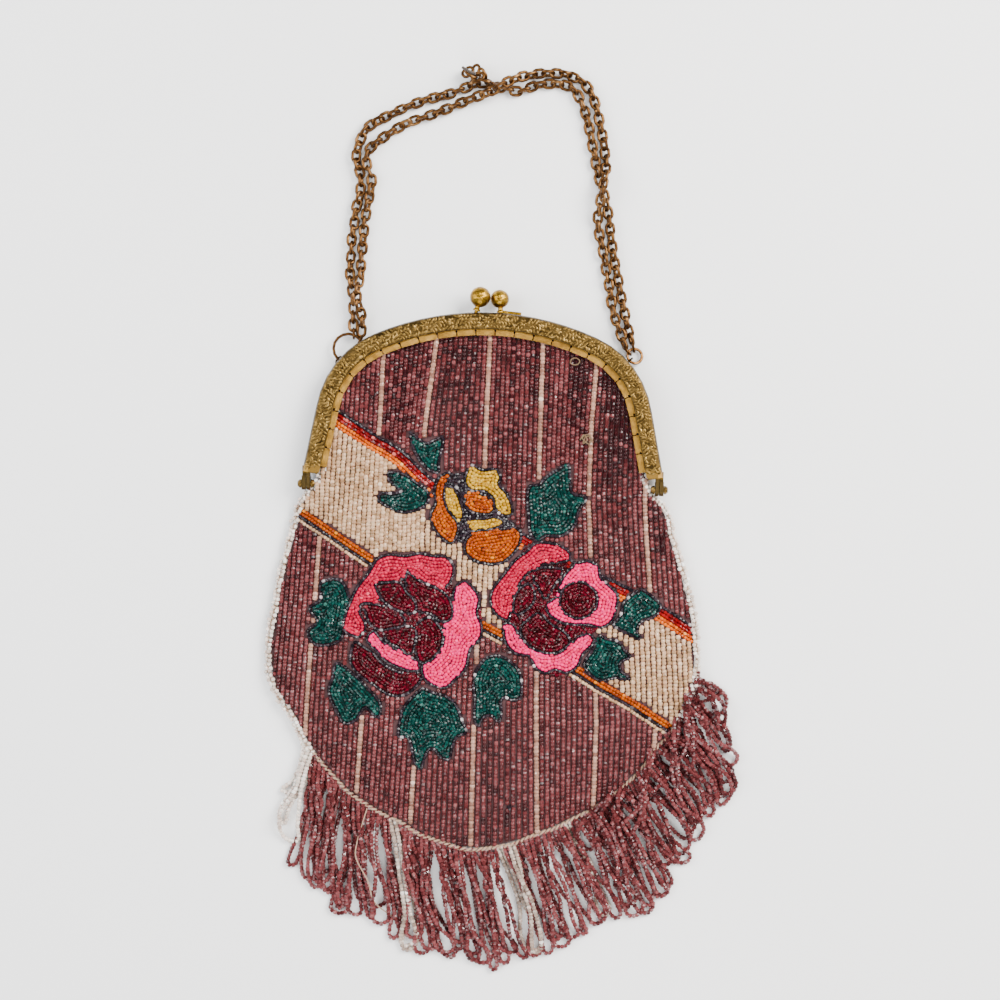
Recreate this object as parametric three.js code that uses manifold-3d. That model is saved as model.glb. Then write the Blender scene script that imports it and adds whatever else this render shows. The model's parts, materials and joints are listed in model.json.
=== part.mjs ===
// A beaded evening purse lying on its back: a hinged brass frame with a ball clasp,
// a flat bag of two bead-worked panels, a looped bead fringe and a doubled chain handle.
// Millimetres. +X is to the right in the front view, +Y runs from the fringe to the chain,
// +Z is up from the surface that the purse lies on.
import * as THREE from 'three';
import Module from 'manifold-3d';

const wasm = await Module();
wasm.setup();

// General clearances
const fit = 0.3; // air between neighbouring pieces
const weld = 1e-4; // vertices closer than this are one

// Frame arch, measured on its outer edge
const crownRadius = 115;
const crownHalfAngle = THREE.MathUtils.degToRad(24.1);
const shoulderRadius = 40;
const legLean = THREE.MathUtils.degToRad(11); // each leg leans outwards going down
const legLength = 29.4;
const legEndAboveHinge = 5.2;

// Frame halves
const frameLift = 2.8; // the bag bulges below the frame and holds it off the surface
const halfDepth = 4.4;
const bandWidth = 6.6;
const bandWall = 1;
const bandRound = 2.2; // outer corner of the band
const bandSteps = 34;

// Sewing rails
const railTuck = 1.7; // how far a rail reaches behind its band
const railShow = 3; // how much of it shows inside the band
const railThickness = 0.9;
const railTrim = 3.6; // a rail stops this far short of the leg's end
const slitPitch = 7.85;
const slitWidth = 0.45;
const slitHoleRadius = 0.45;
const slitHoleInset = 0.8; // hole centre from the band's inner edge

// Hinges
const lugRadius = 2.6;
const outerLug = 1.8;
const innerLug = 1.4;
const lugProud = 0.3; // outer lug past the leg's outer edge
const lugWeld = 2.4; // length soldered inside the leg
const rivetRadius = 1;
const rivetHeadRadius = 1.85;
const rivetHeadHeight = 1.5;
const rivetHeadRounding = 0.6; // share of the head's radius and height

// Clasp balls: centre from the middle of the arch, height over its top, foot of the stem
const frontBall = { radius: 4.25, x: -2.4, above: 6.5, footX: -4.2 };
const backBall = { radius: 3.85, x: 5.8, above: 6, footX: 6.2 };
const stemRadius = 1.05;
const stemFootRadius = 1.6;
const stemFootHeight = 1.1;
const tenonRadius = 0.8;
const footBarLength = 9.4;
const footBarHeight = 1.1;
const footBarWidth = 2;

// Jump rings, placed by their angle on the shoulder arc and their distance outside it
const leftRing = { radius: 6.2, wire: 0.65, angle: 41.4, out: 1.1, level: 2.4, tilt: 9 };
const rightRing = { radius: 3.15, wire: 0.65, angle: 47.3, out: 4.15, level: 2.1, tilt: -14 };
const eyeRadius = 1.7;
const eyeWire = 0.45;
const leftEye = { out: 0.5, level: 2.6, lean: 30 };
const rightEye = { out: 0.95, level: 2.9, lean: 0 };

// Chain
const chainDiameter = 3.6;
const chainSides = 8;
const chainSteps = 42;
const linkLength = 5.3;
const linkWidth = 4.1;
const linkWire = 0.475;

// Bag
const bagDepth = 152; // from the hinge line to the lowest point
const bagHalfWidth = 89.5;
const bagMiddle = -45; // the panels are laid out around this point
const bagLoft = 12.1; // top of the front panel over the surface
const beadWall = 2.2;
const seamWall = 1.7;
const mouthWall = 1.5;
const seamRise = 0.5; // the seam's underside over the surface
const hingeBlend = 16; // length over which the mouth's edge comes down to the seam
const hingeReach = 0.4; // share of bagDepth below the hinges that follows them
const seamFromRivet = 0.6;
const panelCells = 15;
const tuckFrom = 0.74; // shares of the way out to the mouth, between which a panel
const tuckTo = 0.92; // comes in between the rails
const crownShape = 4; // higher keeps the front panel full further out
const edgeShape = 12; // the same for the wall's full thickness
const backShape = 16; // the same for the flat of the back panel

// Seam cord and fringe
const seamRadius = 0.9;
const seamSteps = 54;
const fringeLength = 51;
const fringeFrom = 0.275; // shares of the seam's length
const fringeTo = 0.815;
const fringeLocks = 24;
const lockWidth = 7.2;
const lockThickness = 3.3;
const lockBluntness = 0.3; // 1 would be an ellipse, 0 a rod with square ends
const headWidth = 2.6;
const headSteps = 26;

// Half widths of the bag, as shares of bagHalfWidth, down its depth as shares of bagDepth.
// Near the hinges they are moved so that the first row meets the inner ends of the rivets.
const outline = [
  { down: 0.018, left: 0.782, right: 0.782 },
  { down: 0.041, left: 0.828, right: 0.826 },
  { down: 0.068, left: 0.855, right: 0.86 },
  { down: 0.13, left: 0.878, right: 0.885 },
  { down: 0.25, left: 0.93, right: 0.95 },
  { down: 0.362, left: 0.962, right: 0.995 },
  { down: 0.474, left: 0.985, right: 1.012 },
  { down: 0.566, left: 0.955, right: 0.985 },
  { down: 0.645, left: 0.865, right: 0.92 },
  { down: 0.724, left: 0.79, right: 0.82 },
  { down: 0.803, left: 0.675, right: 0.715 },
  { down: 0.868, left: 0.555, right: 0.58 },
  { down: 0.921, left: 0.385, right: 0.42 },
  { down: 0.964, left: 0.245, right: 0.25 },
  { down: 0.99, left: 0.12, right: 0.12 },
];

// Soft upright folds below the frame: place and width as shares of bagHalfWidth,
// top and bottom as shares of bagDepth over and under the hinge line, depth in shares of bagLoft
const folds = [
  { at: -0.8, width: 0.09, top: -0.05, bottom: -0.4, depth: 0.08 },
  { at: -0.42, width: 0.1, top: 0.3, bottom: -0.1, depth: 0.07 },
  { at: -0.16, width: 0.09, top: 0.35, bottom: 0.02, depth: 0.07 },
  { at: 0.3, width: 0.1, top: 0.35, bottom: -0.05, depth: 0.06 },
  { at: 0.6, width: 0.1, top: 0.3, bottom: -0.35, depth: 0.1 },
  { at: 0.83, width: 0.08, top: -0.05, bottom: -0.4, depth: 0.08 },
];

// Fringe locks along the head: length as a share of fringeLength, lean in degrees to +X
const fringeFan = [
  { at: 0, length: 0.5, lean: -20 },
  { at: 0.05, length: 0.95, lean: -8 },
  { at: 0.12, length: 1.02, lean: -2 },
  { at: 0.19, length: 0.9, lean: 4 },
  { at: 0.23, length: 1.07, lean: 7 },
  { at: 0.42, length: 1.02, lean: 13 },
  { at: 0.585, length: 0.94, lean: 25 },
  { at: 0.686, length: 0.97, lean: 28 },
  { at: 0.76, length: 0.8, lean: 34 },
  { at: 0.837, length: 0.74, lean: 38 },
  { at: 0.91, length: 0.8, lean: 37 },
  { at: 0.97, length: 0.52, lean: 36 },
  { at: 1, length: 0.34, lean: 48 },
];

// Chosen routes of the two strands, from the left ring to the right one. Strand b lies
// over strand a where they cross.
const chainRoutes = {
  a: [
    [-56.3, 80, 2], [-57.7, 90, 2], [-57.1, 101, 2],
    [-56.2, 113, 2], [-53.9, 123, 2], [-54, 131, 2], [-55.9, 137.5, 2],
    [-55.1, 143, 2], [-51.5, 150.3, 2], [-43.4, 155.5, 2], [-29.9, 161.6, 2],
    [-15.6, 166.1, 2], [-3, 170.3, 2], [4.1, 168.6, 2], [12.5, 167.2, 2],
    [20.5, 170, 2], [29, 170.3, 2], [35, 168.2, 2], [38.5, 163, 2],
    [41.2, 155.5, 2], [43.2, 146.3, 2], [44.9, 138.5, 2], [46, 133, 2],
    [48.6, 125, 2], [50.9, 114.5, 2], [52.9, 100.5, 2], [56.1, 85.6, 2],
    [59, 71.8, 2],
  ],
  b: [
    [-52.2, 70.5, 3.8], [-54.3, 78.7, 6.2], [-53.2, 87.5, 3.6],
    [-53, 95, 2], [-52.2, 106.5, 2], [-51.6, 113.6, 2], [-49.8, 122.5, 2],
    [-49.4, 130, 2], [-51.7, 136.5, 2], [-50.3, 141.5, 2], [-46.2, 145.2, 2],
    [-38, 151, 2], [-23.6, 156.8, 2], [-9.8, 162.6, 2.4], [-1, 165.8, 5],
    [4.6, 168.6, 6.3], [10.2, 171.7, 4.8], [18.7, 174.4, 2], [23.5, 175, 2],
    [31, 174.6, 2], [37.6, 172.3, 2], [41.4, 168.9, 2], [44, 163.3, 2],
    [46.2, 156.6, 2], [47.9, 148, 2], [49.2, 140, 2.6], [49.4, 133.5, 5],
    [48, 125.8, 6.3], [46.9, 118.5, 4.8], [46.6, 110.8, 2.4], [48.9, 99.5, 2],
    [51.8, 84.9, 2], [54, 73.8, 2],
  ],
};

// Where the end links cross their rings, in degrees on the ring, and the way they point
const endLinks = {
  left_a: { ring: leftRing, side: -1, at: 69, toward: [-0.05, 1] },
  left_b: { ring: leftRing, side: -1, at: 36, toward: [0.5, 0.87] },
  right_a: { ring: rightRing, side: 1, at: 100, toward: [-0.25, 0.97] },
  right_b: { ring: rightRing, side: 1, at: 152, toward: [-0.7, 0.71] },
};
const linkHold = 0.6; // link centre from the ring's wire

// Derived sizes
const partingLevel = frameLift + halfDepth + fit / 2;
const shoulderStart = crownHalfAngle;
const shoulderEnd = Math.PI / 2 - legLean;
const shoulderX = (crownRadius - shoulderRadius) * Math.sin(crownHalfAngle);
const shoulderY = legEndAboveHinge + legLength * Math.cos(legLean)
  - shoulderRadius * Math.cos(shoulderEnd);
const crownY = shoulderY - (crownRadius - shoulderRadius) * Math.cos(crownHalfAngle);
const archTop = crownY + crownRadius;
const legEndX = shoulderX + shoulderRadius * Math.sin(shoulderEnd)
  + legLength * Math.sin(legLean);
const rivetInnerEnd = legEndX + lugProud - outerLug - innerLug - 2 * fit - rivetHeadHeight;
const railOuterInset = bandWidth - railTuck;
const railInnerInset = bandWidth + railShow;
const mouthInset = bandWidth + railShow / 3;
const railFace = halfDepth - bandWall - fit; // outer face of a rail from the parting plane
const mouthFace = railFace - railThickness - fit; // outer face of a panel under its rail
const wallMiddle = (halfDepth - bandRound) / 2;

const brass = new THREE.MeshStandardMaterial({ color: 0xa5874b, roughness: 0.42, metalness: 1 });
const paleBrass = new THREE.MeshStandardMaterial({ color: 0xbe9b5f, roughness: 0.35, metalness: 1 });
const claspBrass = new THREE.MeshStandardMaterial({ color: 0xbe963c, roughness: 0.35, metalness: 1 });
const chainBrass = new THREE.MeshStandardMaterial({ color: 0x966e4b, roughness: 0.45, metalness: 1 });
const beadwork = new THREE.MeshStandardMaterial({ color: 0x8a545c, roughness: 0.3, metalness: 0 });
const fringeGlass = new THREE.MeshStandardMaterial({ color: 0x94606b, roughness: 0.25, metalness: 0 });
const thread = new THREE.MeshStandardMaterial({ color: 0xa5876e, roughness: 0.9, metalness: 0 });

// Solids

// Joins vertices that lie together and turns the faces outwards
function closed(geometry) {
  const source = geometry.attributes.position;
  const points = [];
  const place = [];
  for (let i = 0; i < source.count; i += 1) {
    const point = new THREE.Vector3().fromBufferAttribute(source, i);
    const same = points.findIndex((other) => other.distanceToSquared(point) < weld ** 2);
    place.push(same < 0 ? points.push(point) - 1 : same);
  }
  const corners = geometry.index ? Array.from(geometry.index.array) : [...place.keys()];
  const faces = [];
  let volume = 0;
  for (let i = 0; i < corners.length; i += 3) {
    const [a, b, c] = corners.slice(i, i + 3).map((corner) => place[corner]);
    if (a === b || b === c || c === a) continue;
    faces.push(a, b, c);
    volume += points[a].dot(points[b].clone().cross(points[c]));
  }
  if (volume < 0) faces.reverse();
  return new THREE.BufferGeometry().setFromPoints(points).setIndex(faces);
}

function toSolid(geometry) {
  const mesh = closed(geometry);
  return new wasm.Manifold(new wasm.Mesh({
    numProp: 3,
    vertProperties: new Float32Array(mesh.attributes.position.array),
    triVerts: new Uint32Array(mesh.index.array),
  }));
}

function toGeometry(solid) {
  const mesh = solid.getMesh();
  const geometry = new THREE.BufferGeometry();
  geometry.setAttribute('position', new THREE.BufferAttribute(mesh.vertProperties, 3));
  geometry.setIndex(new THREE.BufferAttribute(mesh.triVerts, 1));
  geometry.computeVertexNormals();
  return geometry;
}

function joined(geometries) {
  return toGeometry(geometries.map(toSolid).reduce((whole, piece) => whole.add(piece)));
}

const purse = new THREE.Group();

function addPiece(name, geometry, material) {
  const mesh = new THREE.Mesh(closed(geometry), material);
  mesh.name = name;
  purse.add(mesh);
}

// The frame's arch at a given inset from its outer edge, from the left leg to the right one
class ArchCurve extends THREE.Curve {
  constructor(inset = 0, trim = 0) {
    super();
    this.crown = crownRadius - inset;
    this.shoulder = shoulderRadius - inset;
    this.crownArc = this.crown * shoulderStart;
    this.shoulderArc = this.shoulder * (shoulderEnd - shoulderStart);
    this.half = this.crownArc + this.shoulderArc + legLength - trim;
  }

  getPoint(t, target = new THREE.Vector3()) {
    const along = (2 * t - 1) * this.half;
    const side = Math.sign(along) || 1;
    const reach = Math.abs(along);
    if (reach <= this.crownArc) {
      const angle = reach / this.crown;
      return target.set(
        side * this.crown * Math.sin(angle), crownY + this.crown * Math.cos(angle), 0,
      );
    }
    const turned = Math.min(reach - this.crownArc, this.shoulderArc) / this.shoulder;
    const angle = shoulderStart + turned;
    const down = Math.max(0, reach - this.crownArc - this.shoulderArc);
    return target.set(
      side * (shoulderX + this.shoulder * Math.sin(angle) + down * Math.sin(legLean)),
      shoulderY + this.shoulder * Math.cos(angle) - down * Math.cos(legLean),
      0,
    );
  }
}

// Point on the shoulder arc, out from the frame's edge, with its outward direction
function atShoulder(side, degrees, out) {
  const angle = THREE.MathUtils.degToRad(degrees);
  const outward = new THREE.Vector3(side * Math.sin(angle), Math.cos(angle), 0);
  const point = new THREE.Vector3(side * shoulderX, shoulderY, 0)
    .addScaledVector(outward, shoulderRadius + out);
  return { point, outward };
}

// Section of a frame half, from the parting plane outwards; facing is 1 for the front half
function bandSection(facing) {
  const level = (height) => partingLevel + facing * (fit / 2 + height);
  const rounded = [0, Math.PI / 4, Math.PI / 2];
  const corner = halfDepth - bandRound;
  const inner = bandRound - bandWall;
  const points = [[0, 0]];
  rounded.forEach((a) => {
    points.push([bandRound - bandRound * Math.cos(a), corner + bandRound * Math.sin(a)]);
  });
  points.push([bandWidth, halfDepth]);
  points.push([bandWidth, halfDepth - bandWall]);
  rounded.toReversed().forEach((a) => {
    points.push([bandRound - inner * Math.cos(a), corner + inner * Math.sin(a)]);
  });
  points.push([bandWall, 0]);
  return new THREE.Shape(points.map(([inset, height]) => (
    new THREE.Vector2(-level(height), -inset)
  )));
}

// A hinge lug: a plate across the leg, round about the rivet and soldered inside the leg
function lug(side, facing) {
  const shoulder = legEndAboveHinge - bandWidth * Math.sin(legLean) - 2 * fit;
  const weldTop = legEndAboveHinge + lugWeld;
  const shape = new THREE.Shape();
  shape.absarc(0, 0, lugRadius, Math.PI / 2, 1.5 * Math.PI, false);
  shape.lineTo(shoulder, -lugRadius);
  shape.lineTo(shoulder, fit / 2);
  shape.lineTo(weldTop, fit / 2);
  shape.lineTo(weldTop, halfDepth - bandWall / 2);
  shape.lineTo(shoulder, halfDepth - bandWall / 2);
  const hole = new THREE.Path();
  hole.absarc(0, 0, rivetRadius + fit, 0, 2 * Math.PI, true);
  shape.holes.push(hole);
  const thickness = facing > 0 ? innerLug : outerLug;
  const outside = legEndX + lugProud - (facing > 0 ? outerLug + fit : 0);
  const plate = new THREE.ExtrudeGeometry(shape, {
    depth: thickness, bevelEnabled: false, curveSegments: 8,
  });
  plate.applyMatrix4(new THREE.Matrix4().makeBasis(
    new THREE.Vector3(0, 1, 0), new THREE.Vector3(0, 0, facing), new THREE.Vector3(1, 0, 0),
  ));
  plate.translate(side > 0 ? outside - thickness : -outside, 0, partingLevel);
  return plate;
}

// Jump ring, tilted about the frame's edge so that its far side rises by its tilt
function ringPlace(side, ring) {
  const { point, outward } = atShoulder(side, ring.angle, ring.out);
  const hinge = new THREE.Vector3(outward.y, -outward.x, 0);
  const turn = new THREE.Quaternion().setFromAxisAngle(hinge, THREE.MathUtils.degToRad(ring.tilt));
  point.z = ring.level;
  return { point, outward, turn };
}

function onRing(side, ring, degrees) {
  const { point, turn } = ringPlace(side, ring);
  const angle = THREE.MathUtils.degToRad(degrees);
  return new THREE.Vector3(ring.radius * Math.cos(angle), ring.radius * Math.sin(angle), 0)
    .applyQuaternion(turn).add(point);
}

function jumpRing(side, ring) {
  const { point, turn } = ringPlace(side, ring);
  const geometry = new THREE.TorusGeometry(ring.radius, ring.wire, 6, 16);
  geometry.applyQuaternion(turn);
  geometry.translate(point.x, point.y, point.z);
  return geometry;
}

// Small eye soldered to the back half, round the place where the ring comes past it
function eye(side, ring, seat) {
  const far = shoulderRadius + ring.out;
  const near = shoulderRadius + seat.out;
  const reach = (far ** 2 + near ** 2 - ring.radius ** 2) / (2 * far * near);
  const apart = Math.acos(Math.min(1, reach)); // nought where the ring only just comes in
  const degrees = ring.angle + THREE.MathUtils.radToDeg(apart);
  const { point, outward } = atShoulder(side, degrees, seat.out);
  const centre = ringPlace(side, ring).point;
  const along = new THREE.Vector3(point.y - centre.y, centre.x - point.x, 0).normalize();
  if (along.dot(outward) < 0) along.negate();
  const lean = THREE.MathUtils.degToRad(seat.lean);
  const axis = along.multiplyScalar(Math.cos(lean)).setZ(Math.sin(lean));
  const geometry = new THREE.TorusGeometry(eyeRadius, eyeWire, 5, 10);
  geometry.applyQuaternion(new THREE.Quaternion().setFromUnitVectors(
    new THREE.Vector3(0, 0, 1), axis,
  ));
  geometry.translate(point.x, point.y, seat.level);
  return geometry;
}

// Clasp ball turned with its stem, foot and tenon, standing on the frame's outer wall
function claspAxis(ball) {
  const angle = Math.asin(ball.footX / crownRadius);
  const foot = new THREE.Vector3(ball.footX, crownY + crownRadius * Math.cos(angle), 0);
  const centre = new THREE.Vector3(ball.x, archTop + ball.above, 0);
  return { foot, reach: foot.distanceTo(centre), way: centre.sub(foot).normalize(), angle };
}

function turnedOn(ball, facing, profile) {
  const { foot, way } = claspAxis(ball);
  const geometry = new THREE.LatheGeometry(profile.map(([r, y]) => new THREE.Vector2(r, y)), 12);
  geometry.applyQuaternion(new THREE.Quaternion().setFromUnitVectors(
    new THREE.Vector3(0, 1, 0), way,
  ));
  geometry.translate(foot.x, foot.y, partingLevel + facing * (fit / 2 + wallMiddle));
  return geometry;
}

function claspBall(ball, facing) {
  const { reach, way, angle } = claspAxis(ball);
  const tenonEnd = -bandWall - fit;
  const tilt = way.angleTo(new THREE.Vector3(Math.sin(angle), Math.cos(angle), 0));
  const seat = fit + stemFootRadius * Math.sin(tilt);
  const profile = [
    [0, tenonEnd], [tenonRadius, tenonEnd], [tenonRadius, seat], [stemFootRadius, seat],
    [stemFootRadius, seat + stemFootHeight / 2], [stemRadius, seat + stemFootHeight],
  ];
  const rows = 9;
  const first = Math.asin(stemRadius / ball.radius);
  for (let i = 0; i < rows; i += 1) {
    const polar = Math.PI - first - ((Math.PI - first) * i) / rows;
    profile.push([ball.radius * Math.sin(polar), reach + ball.radius * Math.cos(polar)]);
  }
  profile.push([0, reach + ball.radius]);
  return turnedOn(ball, facing, profile);
}

function tenonHole(ball, facing) {
  const radius = tenonRadius + fit;
  const inside = -bandWall - 2 * fit;
  const outside = 2 * fit;
  return turnedOn(ball, facing, [[0, inside], [radius, inside], [radius, outside], [0, outside]]);
}

function footBar() {
  const { foot, angle } = claspAxis(backBall);
  const bar = new THREE.BoxGeometry(footBarLength, footBarHeight, footBarWidth);
  bar.translate(footBarLength / 2 - stemFootRadius / 2, fit + footBarHeight / 2, 0);
  bar.rotateZ(-angle - Math.asin(footBarLength / 2 / crownRadius));
  bar.translate(foot.x, foot.y, partingLevel - fit / 2 - wallMiddle);
  return bar;
}

function frameBand(facing) {
  const band = new THREE.ExtrudeGeometry(bandSection(facing), {
    steps: bandSteps, extrudePath: new ArchCurve(),
  });
  const pieces = [band, lug(-1, facing), lug(1, facing)];
  if (facing < 0) pieces.push(eye(-1, leftRing, leftEye), eye(1, rightRing, rightEye));
  const ball = facing > 0 ? frontBall : backBall;
  const whole = pieces.map(toSolid).reduce((sum, piece) => sum.add(piece));
  return toGeometry(whole.subtract(toSolid(tenonHole(ball, facing))));
}

// Rail: a flat strip behind the band, its inner edge slit into tabs with a hole in each slit
function sewingRail(facing) {
  const edge = new ArchCurve(railInnerInset, railTrim);
  const back = new ArchCurve(railOuterInset, railTrim);
  const tabs = Math.round(edge.getLength() / slitPitch);
  const holeInset = railInnerInset - (bandWidth + slitHoleInset);
  const neck = Math.sqrt(slitHoleRadius ** 2 - (slitWidth / 2) ** 2);
  const points = [];
  const put = (at, outward, along, out, across) => {
    points.push(new THREE.Vector2(
      at.x + outward.x * out + along.x * across, at.y + outward.y * out + along.y * across,
    ));
  };
  for (let i = 0; i <= tabs; i += 1) {
    const at = edge.getPointAt(i / tabs);
    const along = edge.getTangentAt(i / tabs);
    const outward = new THREE.Vector3(-along.y, along.x, 0);
    if (i === 0 || i === tabs) {
      put(at, outward, along, 0, 0);
    } else {
      put(at, outward, along, 0, -slitWidth / 2);
      put(at, outward, along, holeInset - neck, -slitWidth / 2);
      put(at, outward, along, holeInset, -slitHoleRadius);
      put(at, outward, along, holeInset + slitHoleRadius, 0);
      put(at, outward, along, holeInset, slitHoleRadius);
      put(at, outward, along, holeInset - neck, slitWidth / 2);
      put(at, outward, along, 0, slitWidth / 2);
    }
  }
  for (let i = tabs; i >= 0; i -= 1) {
    const at = back.getPointAt(i / tabs);
    points.push(new THREE.Vector2(at.x, at.y));
  }
  const rail = new THREE.ExtrudeGeometry(new THREE.Shape(points), {
    depth: railThickness, bevelEnabled: false,
  });
  const lowest = facing > 0 ? railFace - railThickness : -railFace;
  rail.translate(0, 0, partingLevel + facing * (fit / 2) + lowest);
  return rail;
}

function hingeRivet(side) {
  const inner = rivetInnerEnd + rivetHeadHeight;
  const outer = legEndX + lugProud + fit;
  const headEdge = rivetHeadHeight * rivetHeadRounding;
  const crownEdge = rivetHeadRadius * rivetHeadRounding;
  const profile = [
    [0, inner - rivetHeadHeight], [crownEdge, inner - rivetHeadHeight],
    [rivetHeadRadius, inner - rivetHeadHeight + headEdge], [rivetHeadRadius, inner],
    [rivetRadius, inner], [rivetRadius, outer], [rivetHeadRadius, outer],
    [rivetHeadRadius, outer + rivetHeadHeight - headEdge], [crownEdge, outer + rivetHeadHeight],
    [0, outer + rivetHeadHeight],
  ];
  const rivet = new THREE.LatheGeometry(profile.map(([r, y]) => new THREE.Vector2(r, y)), 10);
  rivet.rotateZ(-side * (Math.PI / 2));
  rivet.translate(0, 0, partingLevel);
  return rivet;
}

function endLinkPlace({ ring, side, at, toward }) {
  const way = new THREE.Vector3(toward[0], toward[1], 0).normalize();
  const centre = onRing(side, ring, at).addScaledVector(way, linkHold);
  centre.z = Math.max(centre.z, (linkWidth + fit) / 2);
  return { centre, way };
}

function endLink(held) {
  const { centre, way } = endLinkPlace(held);
  const link = new THREE.TorusGeometry(linkWidth / 2 - linkWire, linkWire, 5, 12);
  const stretch = (linkLength - linkWidth) / 2;
  const position = link.attributes.position;
  for (let i = 0; i < position.count; i += 1) {
    const x = position.getX(i);
    position.setX(i, x + (x >= 0 ? stretch : -stretch));
  }
  const up = new THREE.Vector3(0, 0, 1);
  link.applyMatrix4(new THREE.Matrix4().makeBasis(way, up, way.clone().cross(up)));
  link.translate(centre.x, centre.y, centre.z);
  return link;
}

// The middle of a strand's end, just past its end link
function strandEnd(held) {
  const { centre, way } = endLinkPlace(held);
  return centre.addScaledVector(way, linkLength / 2 + fit);
}

function chainStrand(name) {
  const section = new THREE.Shape();
  section.absarc(0, 0, chainDiameter / 2, 0, 2 * Math.PI, false);
  const chosen = chainRoutes[name].map(([x, y, z]) => new THREE.Vector3(x, y, z));
  const path = new THREE.CatmullRomCurve3(
    [strandEnd(endLinks[`left_${name}`]), ...chosen, strandEnd(endLinks[`right_${name}`])],
    false,
    'centripetal',
  );
  return new THREE.ExtrudeGeometry(section, {
    steps: chainSteps, extrudePath: path, curveSegments: chainSides / 2,
  });
}

// The seam's line round the bag, from the left hinge down and round to the right hinge
function seamLine(offset = 0) {
  const place = (side, share, down) => {
    const byHinge = 1 - THREE.MathUtils.smoothstep(down, outline[0].down, hingeReach);
    const moved = (rivetInnerEnd - seamFromRivet - outline[0].left * bagHalfWidth) * byHinge;
    return new THREE.Vector3(side * (share * bagHalfWidth + moved), -down * bagDepth, 0);
  };
  const left = outline.map((row) => place(-1, row.left, row.down));
  const right = outline.toReversed().map((row) => place(1, row.right, row.down));
  const points = [...left, new THREE.Vector3(0, -bagDepth, 0), ...right];
  const line = new THREE.CatmullRomCurve3(points, false, 'centripetal');
  if (offset === 0) return line;
  const samples = 90;
  const moved = [];
  for (let i = 0; i <= samples; i += 1) {
    const along = line.getTangentAt(i / samples);
    const at = line.getPointAt(i / samples);
    moved.push(new THREE.Vector3(at.x + along.y * offset, at.y - along.x * offset, 0));
  }
  return new THREE.CatmullRomCurve3(moved, false, 'centripetal');
}

// The panels' whole edge as distances from the middle of the bag, by direction
function edgeTable() {
  const seam = seamLine().getSpacedPoints(160);
  const mouth = new ArchCurve(mouthInset, railTrim).getSpacedPoints(90).toReversed();
  const points = [...seam, ...mouth];
  return points.map((p) => ({
    angle: Math.atan2(p.y - bagMiddle, p.x),
    reach: Math.hypot(p.x, p.y - bagMiddle),
  })).sort((p, q) => p.angle - q.angle);
}

const edgeReach = edgeTable();

function reachToward(angle) {
  let next = edgeReach.findIndex((row) => row.angle >= angle);
  if (next < 0) next = 0;
  const before = edgeReach.at(next - 1);
  const after = edgeReach[next];
  const turn = 2 * Math.PI;
  const span = (after.angle - before.angle + turn) % turn;
  const share = span > 0 ? ((angle - before.angle + turn) % turn) / span : 0;
  return THREE.MathUtils.lerp(before.reach, after.reach, share);
}

function foldDepth(x, y) {
  return folds.reduce((sum, fold) => {
    const across = (x - fold.at * bagHalfWidth) / (fold.width * bagHalfWidth);
    const up = THREE.MathUtils.smoothstep(y, fold.bottom * bagDepth, fold.top * bagDepth);
    return sum + fold.depth * bagLoft * up * Math.exp(-across * across);
  }, 0);
}

// One panel: a block of cells rounded off to the panel's outline and given its two faces
function bagPanel(facing) {
  const panel = new THREE.BoxGeometry(2, 2, 2, panelCells, panelCells, 1);
  const position = panel.attributes.position;
  const eased = (t) => (t + Math.sin((t * Math.PI) / 2)) / 2;
  for (let i = 0; i < position.count; i += 1) {
    const a = -facing * eased(position.getX(i)); // so that the facing sides split alike
    const b = eased(position.getY(i));
    const upper = position.getZ(i) > 0;
    const dx = a * Math.sqrt(1 - (b * b) / 2);
    const dy = b * Math.sqrt(1 - (a * a) / 2);
    const share = Math.hypot(dx, dy);
    const angle = Math.atan2(dy, dx);
    const reach = reachToward(angle) * share;
    const x = reach * Math.cos(angle);
    const y = bagMiddle + reach * Math.sin(angle);
    const edgeY = bagMiddle + reachToward(angle) * Math.sin(angle);
    const mouth = THREE.MathUtils.smoothstep(edgeY, -hingeBlend, 0);
    const tucked = THREE.MathUtils.smoothstep(share, tuckFrom, tuckTo);
    const wall = THREE.MathUtils.lerp(
      beadWall, THREE.MathUtils.lerp(seamWall, mouthWall, mouth), share ** edgeShape,
    );
    const mouthLevel = partingLevel + facing * (fit / 2 + mouthFace);
    if (facing > 0) {
      const edgeLevel = THREE.MathUtils.lerp(seamRise + 2 * seamWall + fit, mouthLevel, mouth);
      const softness = THREE.MathUtils.lerp(share ** crownShape, tucked, mouth);
      const top = THREE.MathUtils.lerp(bagLoft - foldDepth(x, y), edgeLevel, softness);
      position.setXYZ(i, x, y, upper ? top : top - wall);
    } else {
      const edgeLevel = THREE.MathUtils.lerp(seamRise, mouthLevel, mouth);
      const under = edgeLevel * THREE.MathUtils.lerp(share ** backShape, tucked, mouth);
      position.setXYZ(i, x, y, upper ? under + wall : under);
    }
  }
  return panel;
}

function seamCord() {
  const section = new THREE.Shape();
  section.absarc(0, 0, seamRadius, 0, 2 * Math.PI, false);
  const cord = new THREE.ExtrudeGeometry(section, {
    steps: seamSteps, extrudePath: seamLine(fit + seamRadius), curveSegments: 3,
  });
  cord.translate(0, 0, seamRise + seamWall + fit / 2);
  return cord;
}

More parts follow.
